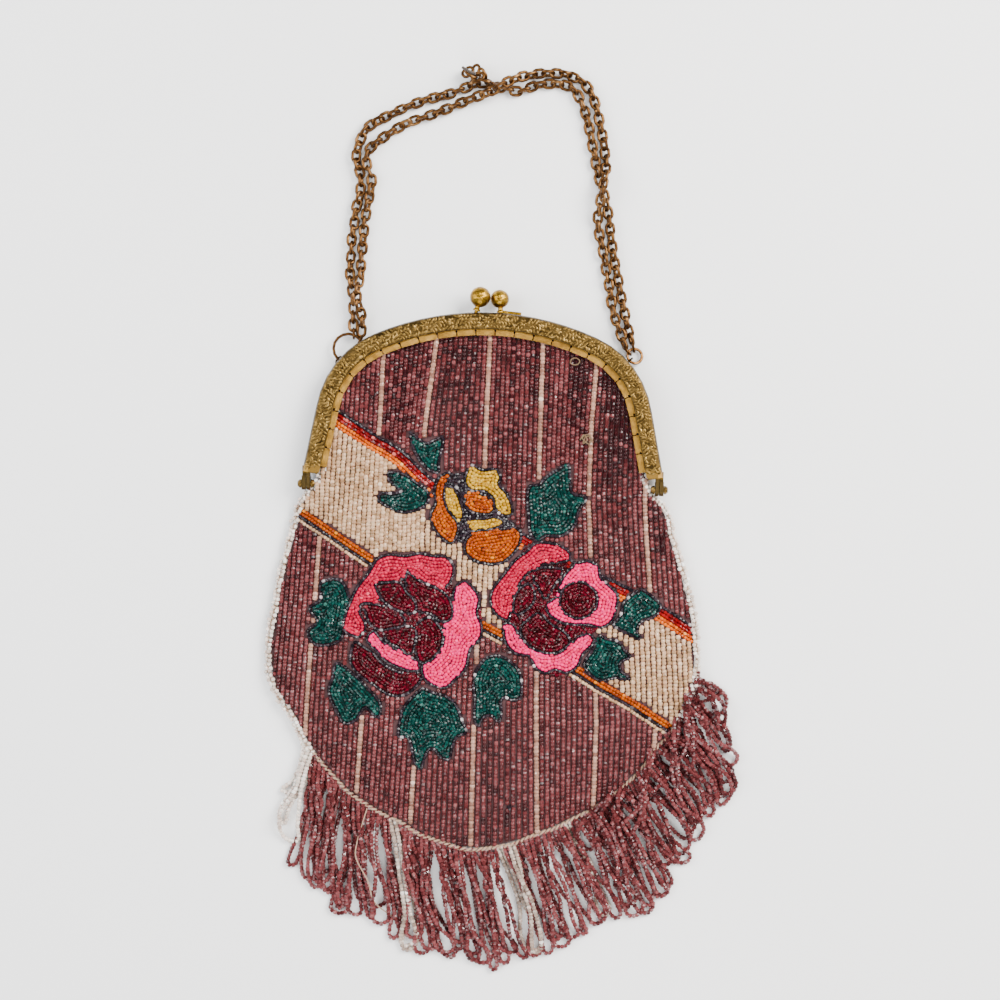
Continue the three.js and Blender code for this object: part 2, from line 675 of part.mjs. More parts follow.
// A flattened rod along a route, tapering to round ends
function rod(path, halfWidth, halfHeight, level) {
  const rows = 6;
  const sides = 6;
  const rodGeometry = new THREE.SphereGeometry(1, sides, rows);
  const position = rodGeometry.attributes.position;
  for (let i = 0; i < position.count; i += 1) {
    const row = Math.floor(i / (sides + 1));
    const polar = (row / rows) * Math.PI;
    const t = (1 - Math.cos(polar)) / 2;
    const size = row % rows === 0 ? 0 : Math.sin(polar) ** lockBluntness;
    const turn = ((i % (sides + 1)) / sides) * 2 * Math.PI;
    const at = path.getPoint(t);
    const along = path.getTangent(t);
    const across = Math.cos(turn) * size * halfWidth;
    const up = Math.sin(turn) * size * halfHeight;
    position.setXYZ(i, at.x - along.y * across, at.y + along.x * across, level + up);
  }
  return rodGeometry;
}

function fanAt(share) {
  const after = Math.max(1, fringeFan.findIndex((row) => row.at >= share));
  const [low, high] = [fringeFan[after - 1], fringeFan[after]];
  const t = (share - low.at) / (high.at - low.at);
  return {
    length: fringeLength * THREE.MathUtils.lerp(low.length, high.length, t),
    lean: THREE.MathUtils.degToRad(THREE.MathUtils.lerp(low.lean, high.lean, t)),
  };
}

function fringe() {
  const line = seamLine(2 * fit + 2 * seamRadius + headWidth / 2);
  const level = lockThickness / 2 + fit / 2;
  const placed = (share) => line.getPointAt(fringeFrom + (fringeTo - fringeFrom) * share);
  const section = new THREE.Shape();
  section.absellipse(0, 0, lockThickness / 2, headWidth / 2, 0, 2 * Math.PI, false, 0);
  const head = new THREE.ExtrudeGeometry(section, {
    steps: headSteps,
    extrudePath: new THREE.CatmullRomCurve3(
      Array.from({ length: headSteps + 1 }, (_, i) => placed(i / headSteps)),
    ),
    curveSegments: 3,
  });
  head.translate(0, 0, level);
  const locks = Array.from({ length: fringeLocks }, (_, i) => {
    const share = i / (fringeLocks - 1);
    const root = placed(share);
    const { length, lean } = fanAt(share);
    const along = line.getTangentAt(fringeFrom + (fringeTo - fringeFrom) * share);
    const tip = new THREE.Vector3(
      root.x + length * Math.sin(lean), root.y - length * Math.cos(lean), 0,
    );
    const knee = root.clone().addScaledVector(new THREE.Vector3(along.y, -along.x, 0), length / 3);
    const path = new THREE.QuadraticBezierCurve3(root, knee, tip);
    return rod(path, lockWidth / 2, lockThickness / 2, level);
  });
  return joined([head, ...locks]);
}

addPiece('frame_band_front', frameBand(1), brass);
addPiece('frame_band_back', frameBand(-1), brass);
addPiece('sewing_rail_front', sewingRail(1), paleBrass);
addPiece('sewing_rail_back', sewingRail(-1), paleBrass);
addPiece('hinge_rivet_left', hingeRivet(-1), paleBrass);
addPiece('hinge_rivet_right', hingeRivet(1), paleBrass);
addPiece('clasp_ball_front', claspBall(frontBall, 1), claspBrass);
addPiece('clasp_ball_back', joined([claspBall(backBall, -1), footBar()]), claspBrass);
addPiece('ring_left', jumpRing(-1, leftRing), brass);
addPiece('ring_right', jumpRing(1, rightRing), brass);
for (const [name, link] of Object.entries(endLinks)) {
  addPiece(`end_link_${name}`, endLink(link), chainBrass);
}
for (const name of Object.keys(chainRoutes)) {
  addPiece(`chain_strand_${name}`, chainStrand(name), chainBrass);
}
addPiece('bag_panel_front', bagPanel(1), beadwork);
addPiece('bag_panel_back', bagPanel(-1), beadwork);
addPiece('seam_cord', seamCord(), thread);
addPiece('fringe', fringe(), fringeGlass);

// The origin lies on the surface under the middle of the whole purse
const whole = new THREE.Box3().setFromObject(purse, true);
const middle = whole.getCenter(new THREE.Vector3());
purse.position.set(-middle.x, -middle.y, -whole.min.z);

export default purse;
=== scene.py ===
import json
import math
import bpy
import numpy as np
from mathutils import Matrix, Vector
from mathutils.bvhtree import BVHTree

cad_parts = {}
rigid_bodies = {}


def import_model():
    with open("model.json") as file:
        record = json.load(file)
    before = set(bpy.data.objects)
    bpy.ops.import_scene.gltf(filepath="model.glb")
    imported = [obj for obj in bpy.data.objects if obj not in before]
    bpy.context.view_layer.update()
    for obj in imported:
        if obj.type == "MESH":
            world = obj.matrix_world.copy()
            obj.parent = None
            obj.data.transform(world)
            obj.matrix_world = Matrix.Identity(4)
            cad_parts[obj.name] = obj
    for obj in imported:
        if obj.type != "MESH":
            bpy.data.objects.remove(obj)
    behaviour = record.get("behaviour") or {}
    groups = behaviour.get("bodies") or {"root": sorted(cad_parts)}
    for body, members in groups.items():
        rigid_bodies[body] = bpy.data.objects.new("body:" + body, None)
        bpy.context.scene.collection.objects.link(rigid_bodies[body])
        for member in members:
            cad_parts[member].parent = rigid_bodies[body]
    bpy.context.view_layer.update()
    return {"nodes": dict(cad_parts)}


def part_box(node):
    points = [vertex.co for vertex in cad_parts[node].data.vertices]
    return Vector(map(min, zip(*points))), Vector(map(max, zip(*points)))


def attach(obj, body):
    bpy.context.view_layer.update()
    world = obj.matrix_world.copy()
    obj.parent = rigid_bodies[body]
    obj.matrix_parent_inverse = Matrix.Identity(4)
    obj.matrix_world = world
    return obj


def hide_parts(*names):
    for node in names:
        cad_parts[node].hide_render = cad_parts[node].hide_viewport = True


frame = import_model()
nodes = frame["nodes"]
chance = np.random.default_rng(7)  # seeded, so every run strings the same beads
print("frame loaded:", len(nodes), "nodes")

# All tables are in millimetres from the middle of the hinge line: x right, y towards the chain
leftRivet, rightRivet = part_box("hinge_rivet_left"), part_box("hinge_rivet_right")
hingeMiddle = np.array([
    (leftRivet[0].x + rightRivet[1].x) / 2, (leftRivet[0].y + leftRivet[1].y) / 2, 0])


def toFrame(points):
    return np.asarray(points, float) * 0.001 + hingeMiddle


# Camera, floor and light

view = {
    "middle": (7.35, -5.4),  # what the photograph is centred on
    "width": 0.42,
    "distance": 0.9,
    "roll": 1.06,  # degrees
    "level": 0.006,
}
camera = bpy.data.objects.new("camera", bpy.data.cameras.new("camera"))
bpy.context.scene.collection.objects.link(camera)
camera.location = Vector(toFrame((*view["middle"], 0))) + Vector((0, 0, view["level"] + view["distance"]))
camera.rotation_euler = (0, 0, math.radians(view["roll"]))
camera.data.sensor_width = 36
camera.data.lens = 36 * view["distance"] / view["width"]
camera.data.clip_end = 10
bpy.context.scene.camera = camera

lamps = {  # place in metres, size, watts, colour
    "window": ((0.80, 0.55, 0.85), 0.8, 48, (1.0, 0.975, 0.94)),
    "wall": ((-0.95, 0.25, 0.75), 0.9, 24, (0.95, 0.975, 1.0)),
    "near_wall": ((0.1, -1.05, 0.8), 0.9, 15, (1.0, 0.985, 0.96)),
    "bulb": ((0.12, 0.40, 1.0), 0.04, 1.6, (1.0, 0.95, 0.88)),
    "second_bulb": ((-0.30, 0.12, 1.05), 0.04, 1.1, (1.0, 0.96, 0.9)),
    "third_bulb": ((0.22, -0.22, 1.05), 0.04, 1.1, (1.0, 0.96, 0.9)),
}
for name, (place, size, watts, colour) in lamps.items():
    lamp = bpy.data.objects.new(name, bpy.data.lights.new(name, "AREA"))
    lamp.data.size = size
    lamp.data.energy = watts
    lamp.data.color = colour
    lamp.location = place
    lamp.rotation_euler = (-Vector(place)).to_track_quat("-Z", "Y").to_euler()
    bpy.context.scene.collection.objects.link(lamp)
world = bpy.data.worlds.new("room")
world.use_nodes = True
world.node_tree.nodes["Background"].inputs["Color"].default_value = (0.86, 0.9, 1.0, 1)
world.node_tree.nodes["Background"].inputs["Strength"].default_value = 0.5
bpy.context.scene.world = world


# Materials

def newMaterial(name):
    material = bpy.data.materials.new(name)
    material.use_nodes = True
    tree = material.node_tree
    return material, tree, tree.nodes["Principled BSDF"]


def addNode(tree, kind, **values):
    node = tree.nodes.new(kind)
    for key, value in values.items():
        if key in node.inputs:
            node.inputs[key].default_value = value
        else:
            setattr(node, key, value)
    return node


def addRamp(tree, factor, stops):
    ramp = tree.nodes.new("ShaderNodeValToRGB")
    while len(ramp.color_ramp.elements) < len(stops):
        ramp.color_ramp.elements.new(0.5)
    for element, (place, colour) in zip(ramp.color_ramp.elements, stops):
        element.position = place
        element.color = (*colour, 1)
    tree.links.new(factor, ramp.inputs["Fac"])
    return ramp.outputs["Color"]


def addBump(tree, shader, height, strength, distance):
    bump = addNode(tree, "ShaderNodeBump", Strength=strength, Distance=distance)
    tree.links.new(height, bump.inputs["Height"])
    tree.links.new(bump.outputs["Normal"], shader.inputs["Normal"])
    return bump


def objectNoise(tree, scale, detail=3.0, roughness=0.6):
    place = addNode(tree, "ShaderNodeTexCoord")
    noise = addNode(tree, "ShaderNodeTexNoise", Scale=scale, Detail=detail, Roughness=roughness)
    tree.links.new(place.outputs["Object"], noise.inputs["Vector"])
    return noise.outputs["Fac"]


plainShine = 0.2
shine = {  # of the kinds that differ from the plain one
    "green": 0.15, "crimson": 0.14, "steel": 0.24, "mauve": 0.21, "pink": 0.11, "coral": 0.14,
    "amber": 0.11,
}
glass = {  # deep tone, middle tone, bright tone, painted sparkle of the odd bead (a painted highlight), roughness
    "mauve": ((0.022, 0.003, 0.004), (0.094, 0.017, 0.018), (0.17, 0.044, 0.046), (0.24, 0.08, 0.078), 0.11),
    "blush": ((0.17, 0.075, 0.052), (0.29, 0.145, 0.10), (0.41, 0.23, 0.165), (0.70, 0.50, 0.42), 0.15),
    "cream": ((0.27, 0.155, 0.080), (0.43, 0.26, 0.145), (0.55, 0.36, 0.225), (0.74, 0.56, 0.41), 0.16),
    "crystal": ((0.46, 0.37, 0.31), (0.62, 0.53, 0.46), (0.78, 0.70, 0.63), (0.96, 0.92, 0.88), 0.12),
    "clear": ((0.20, 0.14, 0.11), (0.34, 0.26, 0.21), (0.50, 0.41, 0.35), (0.90, 0.82, 0.76), 0.11),
    "steel": ((0.004, 0.002, 0.004), (0.010, 0.006, 0.009), (0.028, 0.017, 0.023), (0.45, 0.40, 0.40), 0.13),
    "crimson": (
        (0.018, 0.0002, 0.001), (0.046, 0.0004, 0.003), (0.095, 0.001, 0.008), (0.20, 0.02, 0.03), 0.12),
    "coral": ((0.24, 0.001, 0.015), (0.38, 0.002, 0.030), (0.52, 0.008, 0.052), (0.75, 0.08, 0.12), 0.26),
    "pink": ((0.52, 0.0005, 0.060), (0.68, 0.001, 0.105), (0.84, 0.006, 0.145), (0.95, 0.04, 0.20), 0.28),
    "green": (
        (0.0004, 0.008, 0.007), (0.0008, 0.022, 0.018), (0.002, 0.048, 0.038), (0.05, 0.15, 0.12), 0.12),
    "amber": ((0.16, 0.018, 0.0), (0.28, 0.042, 0.0), (0.39, 0.080, 0.0), (0.66, 0.22, 0.01), 0.22),
    "straw": ((0.24, 0.115, 0.001), (0.38, 0.20, 0.005), (0.50, 0.29, 0.016), (0.80, 0.60, 0.22), 0.20),
    "ruby": ((0.06, 0.0002, 0.001), (0.15, 0.001, 0.002), (0.25, 0.004, 0.004), (0.55, 0.12, 0.1), 0.16),
    "orange": ((0.28, 0.030, 0.0), (0.46, 0.070, 0.001), (0.58, 0.13, 0.004), (0.9, 0.42, 0.12), 0.18),
}


def beadMaterial(kind):
    deep, middle, bright, paintedSparkle, roughness = glass[kind]
    material, tree, shader = newMaterial(f"{kind}_glass_beads")
    tone = addNode(tree, "ShaderNodeAttribute", attribute_name="beadTone")
    # the last stop paints a pale sparkle, a painted highlight, onto the few beads with the highest tone
    colour = addRamp(tree, tone.outputs["Fac"], [
        (0.0, deep), (0.45, middle), (0.965, bright), (0.992, paintedSparkle)])
    cloud = objectNoise(tree, 900)
    mix = addNode(tree, "ShaderNodeMix", data_type="RGBA", blend_type="MULTIPLY")
    mix.inputs["Factor"].default_value = 0.25
    tree.links.new(colour, mix.inputs["A"])
    tree.links.new(addRamp(tree, cloud, [(0.3, (0.5, 0.5, 0.5)), (0.7, (1, 1, 1))]), mix.inputs["B"])
    tree.links.new(mix.outputs["Result"], shader.inputs["Base Color"])
    shader.inputs["Roughness"].default_value = roughness
    shader.inputs["Specular IOR Level"].default_value = shine.get(kind, plainShine)
    shader.inputs["Coat Weight"].default_value = 0.06
    shader.inputs["Coat Roughness"].default_value = 0.05
    shader.inputs["Subsurface Weight"].default_value = 0.5
    shader.inputs["Subsurface Radius"].default_value = (1.0, 0.6, 0.6)
    shader.inputs["Subsurface Scale"].default_value = 0.0008
    addBump(tree, shader, cloud, 0.15, 0.0002)
    return material


beadMaterials = {kind: beadMaterial(kind) for kind in glass}


def metalMaterial(name, deep, middle, bright, roughness, wear):
    material, tree, shader = newMaterial(name)
    cloud = objectNoise(tree, wear, 5.0, 0.65)
    colour = addRamp(tree, cloud, [(0.30, deep), (0.52, middle), (0.72, bright)])
    tree.links.new(colour, shader.inputs["Base Color"])
    fine = objectNoise(tree, wear * 6, 4.0)
    rough = addNode(tree, "ShaderNodeMapRange")
    rough.inputs["To Min"].default_value = roughness * 0.75
    rough.inputs["To Max"].default_value = roughness * 1.35
    tree.links.new(fine, rough.inputs["Value"])
    tree.links.new(rough.outputs["Result"], shader.inputs["Roughness"])
    shader.inputs["Metallic"].default_value = 1.0
    addBump(tree, shader, fine, 0.2, 0.0003)
    return material


def plainBelow(material, below, colour):
    # the collars and the lugs under the frame's legs aren't stamped
    tree = material.node_tree
    shader = tree.nodes["Principled BSDF"]
    stamped = shader.inputs["Base Color"].links[0].from_socket
    place = addNode(tree, "ShaderNodeTexCoord")
    split = addNode(tree, "ShaderNodeSeparateXYZ")
    tree.links.new(place.outputs["Object"], split.inputs["Vector"])
    height = addNode(tree, "ShaderNodeMapRange")
    for socket, value in (("From Min", below - 0.0004), ("From Max", below + 0.0004)):
        height.inputs[socket].default_value = value
    tree.links.new(split.outputs["Y"], height.inputs["Value"])
    mix = addNode(tree, "ShaderNodeMix", data_type="RGBA", blend_type="MIX")
    tree.links.new(height.outputs["Result"], mix.inputs["Factor"])
    mix.inputs["A"].default_value = (*colour, 1)
    tree.links.new(stamped, mix.inputs["B"])
    tree.links.new(mix.outputs["Result"], shader.inputs["Base Color"])


agedBrass = metalMaterial(
    "aged_brass", (0.020, 0.011, 0.003), (0.060, 0.036, 0.010), (0.14, 0.086, 0.026), 0.46, 260)
leafBrass = metalMaterial(
    "leaf_brass", (0.045, 0.026, 0.007), (0.140, 0.083, 0.022), (0.37, 0.235, 0.072), 0.37, 420)
railBrass = metalMaterial(
    "rail_brass", (0.20, 0.098, 0.018), (0.40, 0.215, 0.040), (0.57, 0.33, 0.075), 0.32, 180)
claspMetal = metalMaterial(
    "clasp_brass", (0.09, 0.044, 0.004), (0.27, 0.148, 0.014), (0.46, 0.28, 0.035), 0.31, 500)
chainMetal = metalMaterial(
    "chain_brass", (0.022, 0.008, 0.003), (0.10, 0.044, 0.014), (0.27, 0.138, 0.050), 0.33, 420)
plainBelow(agedBrass, hingeMiddle[1] + 0.0080, (0.20, 0.112, 0.024))
plainBelow(agedBrass, hingeMiddle[1] + 0.0046, (0.065, 0.042, 0.014))


def clothMaterial(name, deep, bright, scale):
    material, tree, shader = newMaterial(name)
    place = addNode(tree, "ShaderNodeTexCoord")
    weave = addNode(tree, "ShaderNodeTexWave", Scale=scale, Distortion=1.5)
    tree.links.new(place.outputs["Object"], weave.inputs["Vector"])
    colour = addRamp(tree, weave.outputs["Fac"], [(0.2, deep), (0.8, bright)])
    tree.links.new(colour, shader.inputs["Base Color"])
    shader.inputs["Roughness"].default_value = 0.9
    shader.inputs["Sheen Weight"].default_value = 0.2
    addBump(tree, shader, weave.outputs["Fac"], 0.4, 0.0003)
    return material


groundCloth = clothMaterial("ground_cloth", (0.030, 0.008, 0.009), (0.07, 0.022, 0.024), 500)
seamThread = clothMaterial("seam_thread", (0.24, 0.14, 0.085), (0.43, 0.285, 0.19), 900)
print("materials ready")


# The floor
bpy.ops.object.select_all(action="DESELECT")
bpy.ops.mesh.primitive_plane_add(size=6, location=(0, 0, -0.0001))
floor = bpy.context.object
floor.name = "table_top"
floorMaterial, floorTree, floorShader = newMaterial("table_top")
floorCloud = objectNoise(floorTree, 3, 4.0)
floorTree.links.new(
    addRamp(floorTree, floorCloud, [(0.3, (0.87, 0.87, 0.865)), (0.7, (0.90, 0.895, 0.89))]),
    floorShader.inputs["Base Color"])
floorShader.inputs["Roughness"].default_value = 0.75
floor.data.materials.append(floorMaterial)


# Lines and meshes

def smoothLine(points, closed=False, perSpan=10):
    points = np.asarray(points, float)
    if closed:
        padded = np.vstack([points[-1:], points, points[:2]])
    else:
        padded = np.vstack([2 * points[0] - points[1], points, 2 * points[-1] - points[-2]])
    line = []
    t = np.linspace(0, 1, perSpan, endpoint=False)[:, None]
    for i in range(len(padded) - 3):
        p0, p1, p2, p3 = padded[i:i + 4]
        d0, d1, d2 = (max(np.linalg.norm(b - a), 1e-6) ** 0.5
                      for a, b in ((p0, p1), (p1, p2), (p2, p3)))
        t1 = ((p1 - p0) / d0 - (p2 - p0) / (d0 + d1) + (p2 - p1) / d1) * d1
        t2 = ((p2 - p1) / d1 - (p3 - p1) / (d1 + d2) + (p3 - p2) / d2) * d1
        line.append(p1 + t1 * t + (3 * (p2 - p1) - 2 * t1 - t2) * t ** 2
                    + (2 * (p1 - p2) + t1 + t2) * t ** 3)
    line.append(points[:1] if closed else points[-1:])
    return np.vstack(line)


def evenLine(line, step):
    gaps = np.linalg.norm(np.diff(line, axis=0), axis=1)
    along = np.concatenate([[0], np.cumsum(gaps)])
    count = max(2, int(round(along[-1] / step)) + 1)
    places = np.linspace(0, along[-1], count)
    return np.column_stack([np.interp(places, along, line[:, i]) for i in range(line.shape[1])])


def unit(vectors):
    return vectors / np.maximum(np.linalg.norm(vectors, axis=-1, keepdims=True), 1e-9)


def makePiece(name, points, corners, sizes, material, slot, tones=None, smooth=True):
    mesh = bpy.data.meshes.new(name)
    mesh.vertices.add(len(points))
    mesh.vertices.foreach_set("co", toFrame(points).astype(np.float32).ravel())
    mesh.loops.add(len(corners))
    mesh.loops.foreach_set("vertex_index", np.asarray(corners, np.int32))
    mesh.polygons.add(len(sizes))
    starts = np.concatenate([[0], np.cumsum(sizes)[:-1]])
    mesh.polygons.foreach_set("loop_start", starts.astype(np.int32))
    mesh.polygons.foreach_set("use_smooth", np.ascontiguousarray(np.broadcast_to(smooth, len(sizes))))
    if tones is not None:
        tone = mesh.attributes.new("beadTone", "FLOAT", "POINT")
        tone.data.foreach_set("value", np.asarray(tones, np.float32))
    mesh.update(calc_edges=True)
    mesh.validate()
    mesh.materials.append(material)
    piece = bpy.data.objects.new(name, mesh)
    bpy.context.scene.collection.objects.link(piece)
    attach(piece, "root")
    return piece


def barrelFaces(sides, rings, first=0):
    faces = []
    for i in range(rings - 1):
        for j in range(sides):
            k = (j + 1) % sides
            faces.append([i * sides + j, i * sides + k, (i + 1) * sides + k, (i + 1) * sides + j])
    faces.append(list(range(sides - 1, -1, -1)))
    faces.append(list(range((rings - 1) * sides, rings * sides)))
    return faces


def beadPiece(name, beads, sides, kind, slot, smooth=0.0):
    # beads is a table: place, thread's direction, upward direction, radius, length, tone
    # smooth is the share of them that has no cut faces
    place = np.array([b[0] for b in beads])
    along = unit(np.array([b[1] for b in beads]))
    up = np.array([b[2] for b in beads])
    up = unit(up - along * np.sum(up * along, axis=1, keepdims=True))
    across = np.cross(along, up)
    radius = np.array([b[3] for b in beads])[:, None, None]
    length = np.array([b[4] for b in beads])[:, None, None]
    turn = np.arange(sides) * 2 * math.pi / sides + chance.uniform(0, 6.28, (len(beads), 1))
    rings = []
    for height, width in ((-0.5, 0.72), (0, 1), (0.5, 0.72)):
        round_ = np.cos(turn)[:, :, None] * up[:, None, :] + np.sin(turn)[:, :, None] * across[:, None, :]
        rings.append(place[:, None, :] + along[:, None, :] * length * height + round_ * radius * width)
    points = np.concatenate(rings, axis=1).reshape(-1, 3)
    faces = barrelFaces(sides, 3)
    flat = np.concatenate([np.array(face) for face in faces])
    count = len(beads)
    corners = (flat[None, :] + (np.arange(count) * sides * 3)[:, None]).ravel()
    sizes = np.tile([len(face) for face in faces], count)
    tones = np.repeat([b[5] for b in beads], sides * 3)
    smoothBeads = np.repeat(chance.random(count) < smooth, len(faces))
    return makePiece(name, points, corners, sizes, beadMaterials[kind], slot, tones, smoothBeads)


def tubePoints(line, radii, sides, up=(0, 0, 1), closed=False):
    line = np.asarray(line, float)
    if closed:
        tangent = unit(np.roll(line, -1, axis=0) - np.roll(line, 1, axis=0))
    else:
        tangent = unit(np.gradient(line, axis=0))
    side = unit(np.cross(tangent, np.broadcast_to(up, tangent.shape)))
    rise = np.cross(side, tangent)
    turn = np.arange(sides) * 2 * math.pi / sides
    radii = np.broadcast_to(radii, (len(line),))[:, None, None]
    ring = (np.cos(turn)[None, :, None] * side[:, None, :] + np.sin(turn)[None, :, None] * rise[:, None, :])
    return line[:, None, :] + ring * radii


def tubeFaces(rows, sides, closed=False):
    faces = []
    for i in range(rows if closed else rows - 1):
        for j in range(sides):
            k = (j + 1) % sides
            n = (i + 1) % rows
            faces.append([i * sides + j, n * sides + j, n * sides + k, i * sides + k])
    if not closed:
        faces.append(list(range(sides)))
        faces.append(list(range(rows * sides - 1, (rows - 1) * sides - 1, -1)))
    return faces


def tubePiece(name, lines, radius, material):
    # threads: a bevelled curve along each line, made into a mesh
    bpy.ops.object.select_all(action="DESELECT")
    bpy.ops.curve.primitive_nurbs_path_add(location=(0, 0, 0))
    curve = bpy.context.object
    curve.data.splines.clear()
    for line in lines:
        spline = curve.data.splines.new("POLY")
        spline.points.add(len(line) - 1)
        spline.points.foreach_set("co", np.column_stack([toFrame(line), np.ones(len(line))]).ravel())
    curve.data.bevel_depth = radius * 0.001
    curve.data.bevel_resolution = 1
    curve.data.use_fill_caps = True
    bpy.ops.object.convert(target="MESH")
    piece = bpy.context.object
    piece.name = name
    bpy.ops.object.shade_smooth()
    piece.data.materials.clear()
    piece.data.materials.append(material)
    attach(piece, "root")
    return piece


def sheetPiece(name, size, place, thickness, inward, material):
    # a grid laid where place says, then thickened to the inward side of its face
    bpy.ops.object.select_all(action="DESELECT")
    bpy.ops.mesh.primitive_grid_add(x_subdivisions=size[0], y_subdivisions=size[1], size=2)
    piece = bpy.context.object
    piece.name = name
    flat = np.empty(len(piece.data.vertices) * 3)
    piece.data.vertices.foreach_get("co", flat)
    flat = flat.reshape(-1, 3)
    piece.data.vertices.foreach_set("co", toFrame(place(flat[:, 0], flat[:, 1])).ravel())
    piece.data.update()
    solidify = piece.modifiers.new("thickness", "SOLIDIFY")
    solidify.thickness = thickness * 0.001
    solidify.offset = inward
    bpy.ops.object.modifier_apply(modifier="thickness")
    bpy.ops.object.mode_set(mode="EDIT")
    bpy.ops.mesh.select_all(action="SELECT")
    bpy.ops.mesh.normals_make_consistent(inside=False)
    bpy.ops.object.mode_set(mode="OBJECT")
    bpy.ops.object.shade_smooth_by_angle(angle=math.radians(40))
    piece.data.materials.append(material)
    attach(piece, "root")
    return piece


def joinParts(parts):
    # several meshes, each a table of points and a list of faces, as one
    points, corners, sizes, first = [], [], [], 0
    for part, faces in parts:
        flat = part.reshape(-1, 3)
        points.append(flat)
        for face in faces:
            corners.extend(index + first for index in face)
            sizes.append(len(face))
        first += len(flat)
    return np.vstack(points), np.array(corners), np.array(sizes)


# The bag's shape, from the same sizes as its solids

arch = {"crown": 115, "crownTurn": math.radians(24.1), "shoulder": 40, "lean": math.radians(11),
        "leg": 29.4, "legEnd": 5.2, "band": 6.6, "rail": 3, "trim": 3.6}
bag = {"depth": 152, "halfWidth": 89.5, "middle": -45, "loft": 12.1, "wall": 2.2, "seamWall": 1.7,
       "seamRise": 0.5, "hingeBlend": 16, "mouthFront": 9.4, "mouthBack": 5.3,
       "tuckFrom": 0.74, "tuckTo": 0.92}
outline = [  # how far down, and the half width to the left and to the right, as shares
    (0.018, 0.782, 0.782), (0.041, 0.828, 0.826), (0.068, 0.855, 0.86), (0.13, 0.878, 0.885),
    (0.25, 0.93, 0.95), (0.362, 0.962, 0.995), (0.474, 0.985, 1.012), (0.566, 0.955, 0.985),
    (0.645, 0.865, 0.92), (0.724, 0.79, 0.82), (0.803, 0.675, 0.715), (0.868, 0.555, 0.58),
    (0.921, 0.385, 0.42), (0.964, 0.245, 0.25), (0.99, 0.12, 0.12),
]
# the folds shape the bag's face, and are also painted as shade into the mauve beads' tone
folds = [  # place, width, top, bottom, depth
    (-0.8, 0.09, -0.05, -0.4, 0.08), (-0.42, 0.1, 0.3, -0.1, 0.07), (-0.16, 0.09, 0.35, 0.02, 0.07),
    (0.3, 0.1, 0.35, -0.05, 0.06), (0.6, 0.1, 0.3, -0.35, 0.1), (0.83, 0.08, -0.05, -0.4, 0.08),
]
shoulderEnd = math.pi / 2 - arch["lean"]
shoulderX = (arch["crown"] - arch["shoulder"]) * math.sin(arch["crownTurn"])
shoulderY = (arch["legEnd"] + arch["leg"] * math.cos(arch["lean"])
             - arch["shoulder"] * math.cos(shoulderEnd))
crownY = shoulderY - (arch["crown"] - arch["shoulder"]) * math.cos(arch["crownTurn"])


def archLine(inset, trim=0.0, step=0.5):
    # the frame's edge from the left leg to the right one, at an inset from its outside
    crown, shoulder = arch["crown"] - inset, arch["shoulder"] - inset
    turn = np.linspace(0, arch["crownTurn"], 60)
    points = [np.column_stack([crown * np.sin(turn), crownY + crown * np.cos(turn)])]
    turn = np.linspace(arch["crownTurn"], shoulderEnd, 60)[1:]
    points.append(np.column_stack([shoulderX + shoulder * np.sin(turn), shoulderY + shoulder * np.cos(turn)]))
    down = np.array([arch["leg"] - trim])
    end = points[1][-1]
    points.append(np.column_stack([
        end[0] + down * math.sin(arch["lean"]), end[1] - down * math.cos(arch["lean"])]))
    right = np.vstack(points)
    left = right[:0:-1] * [-1, 1]
    return evenLine(np.vstack([left, right]), step)


def seamLine(offset=0.0, step=0.5):
    left = [(-row[1] * bag["halfWidth"], -row[0] * bag["depth"]) for row in outline]
    right = [(row[2] * bag["halfWidth"], -row[0] * bag["depth"]) for row in outline[::-1]]
    line = evenLine(smoothLine(left + [(0, -bag["depth"])] + right), step)
    if offset:
        tangent = unit(np.gradient(line, axis=0))
        line = line + np.column_stack([tangent[:, 1], -tangent[:, 0]]) * offset
    return line


edgePoints = np.vstack([seamLine(), archLine(arch["band"] + arch["rail"] / 3, arch["trim"])])
edgeTurn = np.arctan2(edgePoints[:, 1] - bag["middle"], edgePoints[:, 0])
edgeOrder = np.argsort(edgeTurn)
edgeTurn = edgeTurn[edgeOrder]
edgeReach = np.hypot(edgePoints[:, 0], edgePoints[:, 1] - bag["middle"])[edgeOrder]


def smoothStep(x, low, high):
    t = np.clip((x - low) / (high - low), 0, 1)
    return t * t * (3 - 2 * t)


def bagShare(x, y):
    # how far out a place is, from 0 in the middle to 1 at the edge, and how much of the mouth is there
    turn = np.arctan2(y - bag["middle"], x)
    reach = np.interp(turn, edgeTurn, edgeReach, period=2 * math.pi)
    mouth = smoothStep(bag["middle"] + reach * np.sin(turn), -bag["hingeBlend"], 0)
    return np.hypot(x, y - bag["middle"]) / reach, mouth


def bagLevel(x, y, front=True):
    # height of the bag's outer face
    x, y = np.asarray(x, float), np.asarray(y, float)
    share, mouth = bagShare(x, y)
    share = np.minimum(share, 1.0)
    tucked = smoothStep(share, bag["tuckFrom"], bag["tuckTo"])
    if not front:
        edge = bag["seamRise"] + (bag["mouthBack"] - bag["seamRise"]) * mouth
        return edge * (share ** 16 * (1 - mouth) + tucked * mouth)
    fold = 0
    for at, width, top, bottom, depth in folds:
        across = (x / bag["halfWidth"] - at) / width
        fold = fold + depth * bag["loft"] * smoothStep(
            y, bottom * bag["depth"], top * bag["depth"]) * np.exp(-across * across)
    edge = bag["seamRise"] + 2 * bag["seamWall"] + 0.3
    edge = edge + (bag["mouthFront"] - edge) * mouth
    soft = share ** 4 * (1 - mouth) + tucked * mouth
    return (bag["loft"] - fold) * (1 - soft) + edge * soft


